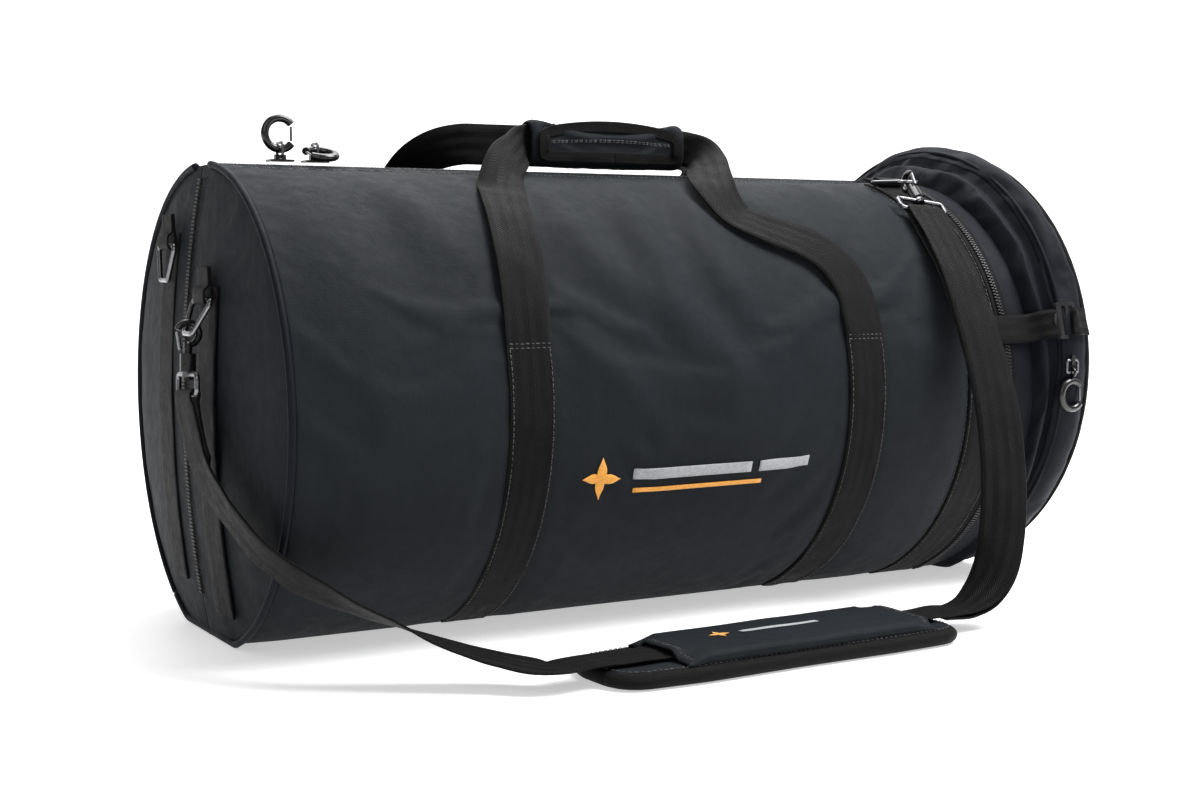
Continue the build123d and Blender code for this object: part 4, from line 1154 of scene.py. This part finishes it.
EN = 260
outline = relax(np.array([pad_point(*pad_edge(4.0 * k / EN), 0) for k in range(EN)]), 5)
tan = np.roll(outline, -1, 0) - np.roll(outline, 1, 0)
tan /= np.linalg.norm(tan, axis=1)[:, None]
inward = np.stack([-tan[:, 1], tan[:, 0], np.zeros(EN)], axis=1)
phis = np.radians(np.linspace(-98, 98, 15))
steps = np.linalg.norm(np.roll(outline, -1, 0) - outline, axis=1)
along_edge = np.concatenate([[0], np.cumsum(steps)])


def binding_point(k, j):
    """The ribbon wraps the rim: from under the pad, round its edge, onto its top."""
    q, f = k % EN, phis[j]
    up = np.array([0, 0, 0.0066 + 0.0060 * math.sin(f)])
    p = outline[q] + inward[q] * (-0.0012 + 0.0072 * (1 - math.cos(f))) + up
    return p, (0.02 + 0.007 * f, along_edge[k]), 0.0


B, UB, _ = sheet_of(EN + 1, len(phis), binding_point)
edge = apply_mods(solid(grid("pad_binding", B, UB, "binding"), 0.0010, 1.0))

S0, S1, SW = -0.105, 0.132, 0.0405      # the sleeve's ends along the pad, and its half width
SN, SM = 84, 40


def sleeve_z(d, v):
    """Height of the sleeve: full over the strap, sewn down at the corners of its ends and along its sides."""
    side_ = min(1.0, (1 - abs(v)) / 0.15)
    end = min(1.0, min(d - S0, S1 - d) / 0.020)
    mouth = clamp(((0.84 if d > 0 else 0.62) - abs(v)) / 0.16)
    k = end + (1 - end) * mouth
    body_ = math.sqrt(max(0.0, 1 - (1 - side_) ** 2))
    wave = noise.noise(Vector((d * 26, v * 1.6, 4))) * 0.0005
    wave += noise.noise(Vector((d * 9, v * 3.1, 8))) * 0.0006
    return 0.0138 + body_ * (0.0014 + 0.0064 * max(0.0, k) + wave)


def on_sleeve_at(d, w, h=0.0):
    """A point h above the sleeve, d along the pad and w across it."""
    return pad_place(d, w, sleeve_z(d, w / SW) + h)


def sleeve_point(i, j):
    d, w = S0 + (S1 - S0) * i / (SN - 1), spread(-1 + 2 * j / (SM - 1)) * SW
    return on_sleeve_at(d, w), (d, w), 0.0


S, US, _ = sheet_of(SN, SM, sleeve_point)
sleeve = apply_mods(solid(grid("pad_sleeve", S, US, "cloth"), 0.0016, 1.0))
dress(pad, "shoulder_pad", "pad_cloth", "shoulder_pad")
dress(edge, "shoulder_pad", "pad_cloth")
dress(sleeve, "shoulder_pad", "pad_cloth")
lines = []
UPWARD = (0, 0, 1)
for d in (S0 + 0.0045, S0 + 0.0062, S1 - 0.0045, S1 - 0.0062):
    pts = [on_sleeve_at(d, v * SW, 0.0003) for v in np.linspace(-0.93, 0.93, 41)]
    lines.append((pts, [UPWARD] * len(pts)))
pts = [outline[k % EN] + inward[k % EN] * 0.0058 + np.array([0, 0, 0.0132]) for k in range(0, EN + 1, 2)]
lines.append((pts, [UPWARD] * len(pts)))
dress(stitches("pad_stitches", lines), "shoulder_pad", "pad_cloth")

# ---------- grip wrap and its flap
G = coords_of(grip, GN, GM)
bpy.data.objects.remove(grip)
middle = np.array([0, 0, GRIP_UP])
# the closed ends of the grip, from the webbing outward: scale in y and in z, shift along x, texture shift
GRIP_ENDS = ((0.16, 0.82, 0.004, 0.012), (0.62, 0.90, 0.0003, 0.008), (0.93, 0.975, -0.0004, 0.004))


def grip_end(row, sy, sz, dx):
    q = (row - middle) * np.array([1, sy, sz]) + middle
    q[:, 0] += dx
    return q


def slid(row, du):
    return row + np.array([du, 0])


left_end = [grip_end(G[0], sy, sz, dx) for sy, sz, dx, _ in GRIP_ENDS]
right_end = [grip_end(G[-1], sy, sz, -dx) for sy, sz, dx, _ in GRIP_ENDS[::-1]]
uv = [slid(UG[0], -du) for *_, du in GRIP_ENDS] + list(UG) + [slid(UG[-1], du) for *_, du in GRIP_ENDS[::-1]]
grip = grid("grip_cloth", np.array(left_end + list(G) + right_end), np.array(uv), "cloth", close_v=True)
smoothen(grip, 1)
apply_mods(grip)
dress(grip, "front_handle", "pad_cloth", "grip_wrap")

FL, FH, FR = 0.073, 0.036, 0.014        # the flap's half length, height and corner radius
FX, FZ0 = -0.0185, 0.3885
FLAP_LOW_R = 0.006
FN, FM = 64, 22
tree = BVHTree.FromPolygons([tuple(v.co) for v in grip.data.vertices],
                            [tuple(q.vertices) for q in grip.data.polygons])


def corner(r, gap):
    """How much shorter a row is at a rounded corner, when it lies gap from the edge."""
    return r - math.sqrt(max(0.0, r ** 2 - (r - gap) ** 2)) if gap < r else 0.0


def flap_point(u, h, lift):
    """u from -1 to 1 along the flap, h from 0 to 1 up it."""
    z = FZ0 + FH * (1 - 0.15 * u * u) * h
    short = corner(FLAP_LOW_R, FH * h) or corner(FR, FH * (1 - h))
    x = FX + u * (FL - short)
    hit = tree.ray_cast(Vector((x, -0.08, z)), Vector((0, 1, 0)))
    y = hit[0].y if hit[0] is not None else -0.009
    return Vector((x, max(-0.0188, min(-0.0095, y)) - lift, z))


def flap_grid(i, j):
    u, h = -1 + 2 * i / (FN - 1), j / (FM - 1)
    return flap_point(u, h, 0.0010), (u * FL, h * FH), 0.0


F, UF, _ = sheet_of(FN, FM, flap_grid)
for _ in range(3):
    beside = F[:-2, 1:-1, 1] + F[2:, 1:-1, 1] + F[1:-1, :-2, 1] + F[1:-1, 2:, 1]
    F[1:-1, 1:-1, 1] = 0.2 * (beside + F[1:-1, 1:-1, 1])
flap = apply_mods(solid(grid("grip_flap_cloth", F, UF, "cloth"), 0.0022, 1.0))
rim = np.concatenate([F[:, 0], F[-1, 1:], F[-2::-1, -1], F[0, -2:0:-1]]) + np.array([0, -0.0012, 0])
go = np.roll(rim, -1, 0) - np.roll(rim, 1, 0)
into = np.stack([-go[:, 2], np.zeros(len(rim)), go[:, 0]], axis=1)
into /= np.linalg.norm(into, axis=1)[:, None]
into *= np.sign(((np.array([FX, 0, FZ0 + FH / 2]) - rim) * into).sum(1))[:, None]
line = relax(rim + into * 0.0042, 4)
loop = [line[k % len(line)] + np.array([0, -0.0004, 0]) for k in range(FN // 2, FN // 2 + len(line) + 1)]
FRONT = (0, -1, 0)
ribbing = ribbon("grip_flap_binding", [(p, FRONT, 0.0098) for p in loop], WT, 0.0025, "binding", 0.0001)
us = np.linspace(-0.84, 0.84, 40)
rows = [([flap_point(u, h, 0.0026) for u in us], [FRONT] * len(us)) for h in (0.50, 0.54)]
dress(flap, "grip_flap", "pad_cloth", "grip_flap")
dress(ribbing, "grip_flap", "pad_cloth")
dress(stitches("grip_flap_stitches", rows), "grip_flap", "pad_cloth")

# ---------- stitching on the bag
lines = {"case": [], "rear_lid": []}
HALVES = ((13, 160, "case"), (-142, -13, "rear_lid"))


def seam(body, places):
    """A stitch line on a body through (point, normal) places, without what would lie in the floor."""
    places = [(p, n) for p, n in places if p[2] > FLOOR_GAP]
    lines[body].append(([p for p, n in places], [n for p, n in places]))


def webbing_seam(body, x, a0, a1, out, n):
    seam(body, [(around(x, a, R + out), out_of(a)) for a in np.linspace(a0, a1, n)])


for a, body, out in ((8.3, "case", 0.0005), (-8.3, "rear_lid", 0.0005), (10.9, "case", 0.0003),
                     (-10.9, "rear_lid", 0.0003)):
    seam(body, [skin(x, a, out) for x in np.linspace(LEFT + 0.010, 0.241, 60)])
for a0, a1, body in HALVES:
    seam(body, [skin(0.2428, a, 0.0003) for a in np.linspace(a0, a1, 60)])
for dx in (STITCH_AT, -STITCH_AT):
    for a0, a1, body in HALVES:
        webbing_seam(body, COLLAR_X + dx, a0, a1, 0.0029, 60)
for hx in HANDLE_X:
    for dx in (-STITCH_AT, STITCH_AT):
        for a0, a1, body in ((75, 160, "case"), (-143, -75, "rear_lid")):
            webbing_seam(body, hx + dx, a0, a1, 0.00325, 40)
    for sgn, body in ((1, "case"), (-1, "rear_lid")):
        for a, out in ((74.2, 0.0040), (75.2, 0.0036)):
            ds = np.linspace(-0.0182, 0.0182, 7)
            seam(body, [(around(hx + d, sgn * a, R + out), out_of(sgn * a)) for d in ds])
for body, rows in lines.items():
    dress(stitches("bag_stitches_" + body, rows), body, "case_cloth")

# ---------- plain decoration: a four-pointed star and bars
def on_tube(centre_x, centre_a):
    return lambda x, y, h: skin(centre_x + x, centre_a - math.degrees(y / R), h)[0]


def on_sleeve(d, w):
    return lambda x, y, h: on_sleeve_at(d + x, w + y, h)


def patch(name, outline, place, size, mat, thick=0.0006):
    """Raised embroidery with the given outline (x along the object, y upward) at a place on the cloth."""
    ring = [(px * size, py * size) for px, py in outline]
    n = len(ring)
    verts, faces, uvs = [], [], []
    levels = ((1.0, 0.0), (1.0, thick * 0.7), (0.9, thick), (0.45, thick * 1.05))
    for k, h in levels:
        for px, py in ring:
            verts.append(place(px * k, py * k, h + 0.0006))
            uvs.append((px * k, py * k))
    verts.append(place(0, 0, thick * 1.05 + 0.0006))
    uvs.append((0, 0))
    for g in range(len(levels) - 1):
        for k in range(n):
            k2 = (k + 1) % n
            faces.append((g * n + k, g * n + k2, (g + 1) * n + k2, (g + 1) * n + k))
    last = (len(levels) - 1) * n
    for k in range(n):
        faces.append((last + k, last + (k + 1) % n, len(verts) - 1))
    return make(name, verts, faces, uvs, mat)


def star(points, inner, per=10):
    """Outline with concave sides between its points."""
    out = []
    for k in range(points * 2 * per):
        t = k / (points * 2 * per)
        q = (t * points * 2) % 2
        f = q if q <= 1 else 2 - q
        r = 1.0 + (inner - 1.0) * f ** 0.62
        ang = 2 * math.pi * t + math.pi / 2
        out.append((r * math.cos(ang), r * math.sin(ang)))
    return out


def bar(w, h, per=12):
    """Outline of a plain bar."""
    out = []
    for side_ in range(4):
        for k in range(per):
            t = k / per
            x, y = ((-1 + 2 * t, -1), (1, -1 + 2 * t), (1 - 2 * t, 1), (-1, 1 - 2 * t))[side_]
            out.append((x * w / 2, y * h / 2))
    return out


dress(patch("badge_star", star(4, 0.30), on_tube(-0.130, 106.0), 0.0175, "orange"), "case", "case_cloth")
BARS = ((0.112, -0.044, 105.0, 0.0090, "grey"), (0.052, 0.046, 105.0, 0.0090, "grey"),
        (0.124, -0.038, 109.0, 0.0036, "orange"))
for k, (w, x, a, h, mat) in enumerate(BARS):
    dress(patch(f"badge_bar_{k}", bar(w, h), on_tube(x, a), 1.0, mat), "case", "case_cloth")
small_star = patch("pad_badge_star", star(4, 0.30), on_sleeve(-0.047, 0.004), 0.0095, "orange", 0.0004)
small_bar = patch("pad_badge_bar", bar(0.074, 0.0052), on_sleeve(0.010, 0.004), 1.0, "grey", 0.0004)
for o in (small_star, small_bar):
    dress(o, "shoulder_pad", "pad_cloth")

# ---------- carried-over parts
FINISH = {
    "chrome": ("front_strap_rings", "end_ring_rear", "collar_ring_rear", "strap_swivels",
               "clip_gate_a", "clip_gate_b", "clip_gate_c", "snap_gate_left", "snap_gate_right",
               "zip_pull_a", "zip_pull_b", "zip_pull_c"),
    "black": ("clip_hook_a", "clip_hook_b", "clip_hook_c", "snap_hook_left", "snap_hook_right",
              "zip_slider_a", "zip_slider_b", "zip_slider_c"),
    "plastic": ("ladder_lock_front", "ladder_lock_rear", "tri_glide"),
    "lining": ("front_lining", "rear_lining"),
    "foam": ("front_shell_foam", "rear_shell_foam", "front_end_foam", "rear_end_foam", "end_band_foam",
             "end_section_foam"),
    "tape": ("main_zip_tape_front", "main_zip_tape_rear", "base_sole")}
for mat, names in FINISH.items():
    for n in names:
        o = nodes[n]
        o.data.materials.clear()
        o.data.materials.append(M[mat])

# ---------- floor, light and camera
M["floor"], nt, sh = new_material("studio_floor")
co = coords(nt, False)
far_out = add(nt, "VectorMath", {0: co}, operation="LENGTH").outputs[1]
paper = mix_colour(nt, noise_fac(nt, co, 3.0, 3.0), grey(0.80), grey(0.835))
# the floor glows: painted light, with emission weaker near the bag (0.50) and stronger far off (0.95), so the
# floor reads darker round the bag
feed(nt, sh, {"Base Color": paper, "Roughness": 0.5, "Specular IOR Level": 0.15, "Emission Color": grey(1),
              "Emission Strength": remap(nt, far_out, 0.60, 1.7, 0.50, 0.95)})
# the sweep in section: flat as far as BEND_Y, a quarter round, then up
BEND_Y, BEND_R, FRONT_Y, FLOOR_HALF = 2.8, 2.0, -3.2, 7.0
sweep = [(FRONT_Y + (BEND_Y - FRONT_Y) * t / 0.6, 0.0) for t in np.linspace(0, 1, 40) if t < 0.6]
for t in np.linspace(0, 1, 40):
    if t >= 0.6:
        q = (t - 0.6) / 0.4 * math.pi / 2
        sweep.append((BEND_Y + BEND_R * math.sin(q), BEND_R - BEND_R * math.cos(q)))
sweep.append((BEND_Y + BEND_R, 5.0))
FP = np.array([[(x * FLOOR_HALF, y, z) for y, z in sweep] for x in (-1, 0, 1)])
floor = grid("floor", FP, FP[:, :, :2], "floor", flip=True)
floor.rotation_euler = (0, 0, math.radians(-30))

scene = bpy.context.scene
world = bpy.data.worlds.new("studio")
scene.world = world
world.use_nodes = True
feed(world.node_tree, world.node_tree.nodes["Background"], {0: grey(1.0), 1: 0.16})


def place_in_scene(name, data, place):
    o = bpy.data.objects.new(name, data)
    scene.collection.objects.link(o)
    o.location = place
    return o


def area(name, place, aim, size, power):
    light = bpy.data.lights.new(name, "AREA")
    light.energy, light.size = power, size
    o = place_in_scene(name, light, place)
    o.rotation_euler = (Vector(aim) - Vector(place)).to_track_quat("-Z", "Y").to_euler()


area("key", (1.05, -0.85, 2.05), (0.05, 0, 0.2), 1.3, 96)
area("fill", (-1.6, -1.5, 1.5), (0, 0, 0.2), 1.6, 12)
area("top", (0.3, 0.7, 2.1), (0, 0, 0.2), 1.6, 52)

camera = bpy.data.cameras.new("camera")
camera.lens, camera.sensor_width = 52.58, 36.0
camera.clip_start, camera.clip_end = 0.05, 60
scene.camera = place_in_scene("camera", camera, (-0.8176, -1.3675, 0.3036))
scene.camera.rotation_euler = (math.radians(90 - 4.61), 0, math.radians(-30.19))
scene.view_settings.view_transform = "Standard"
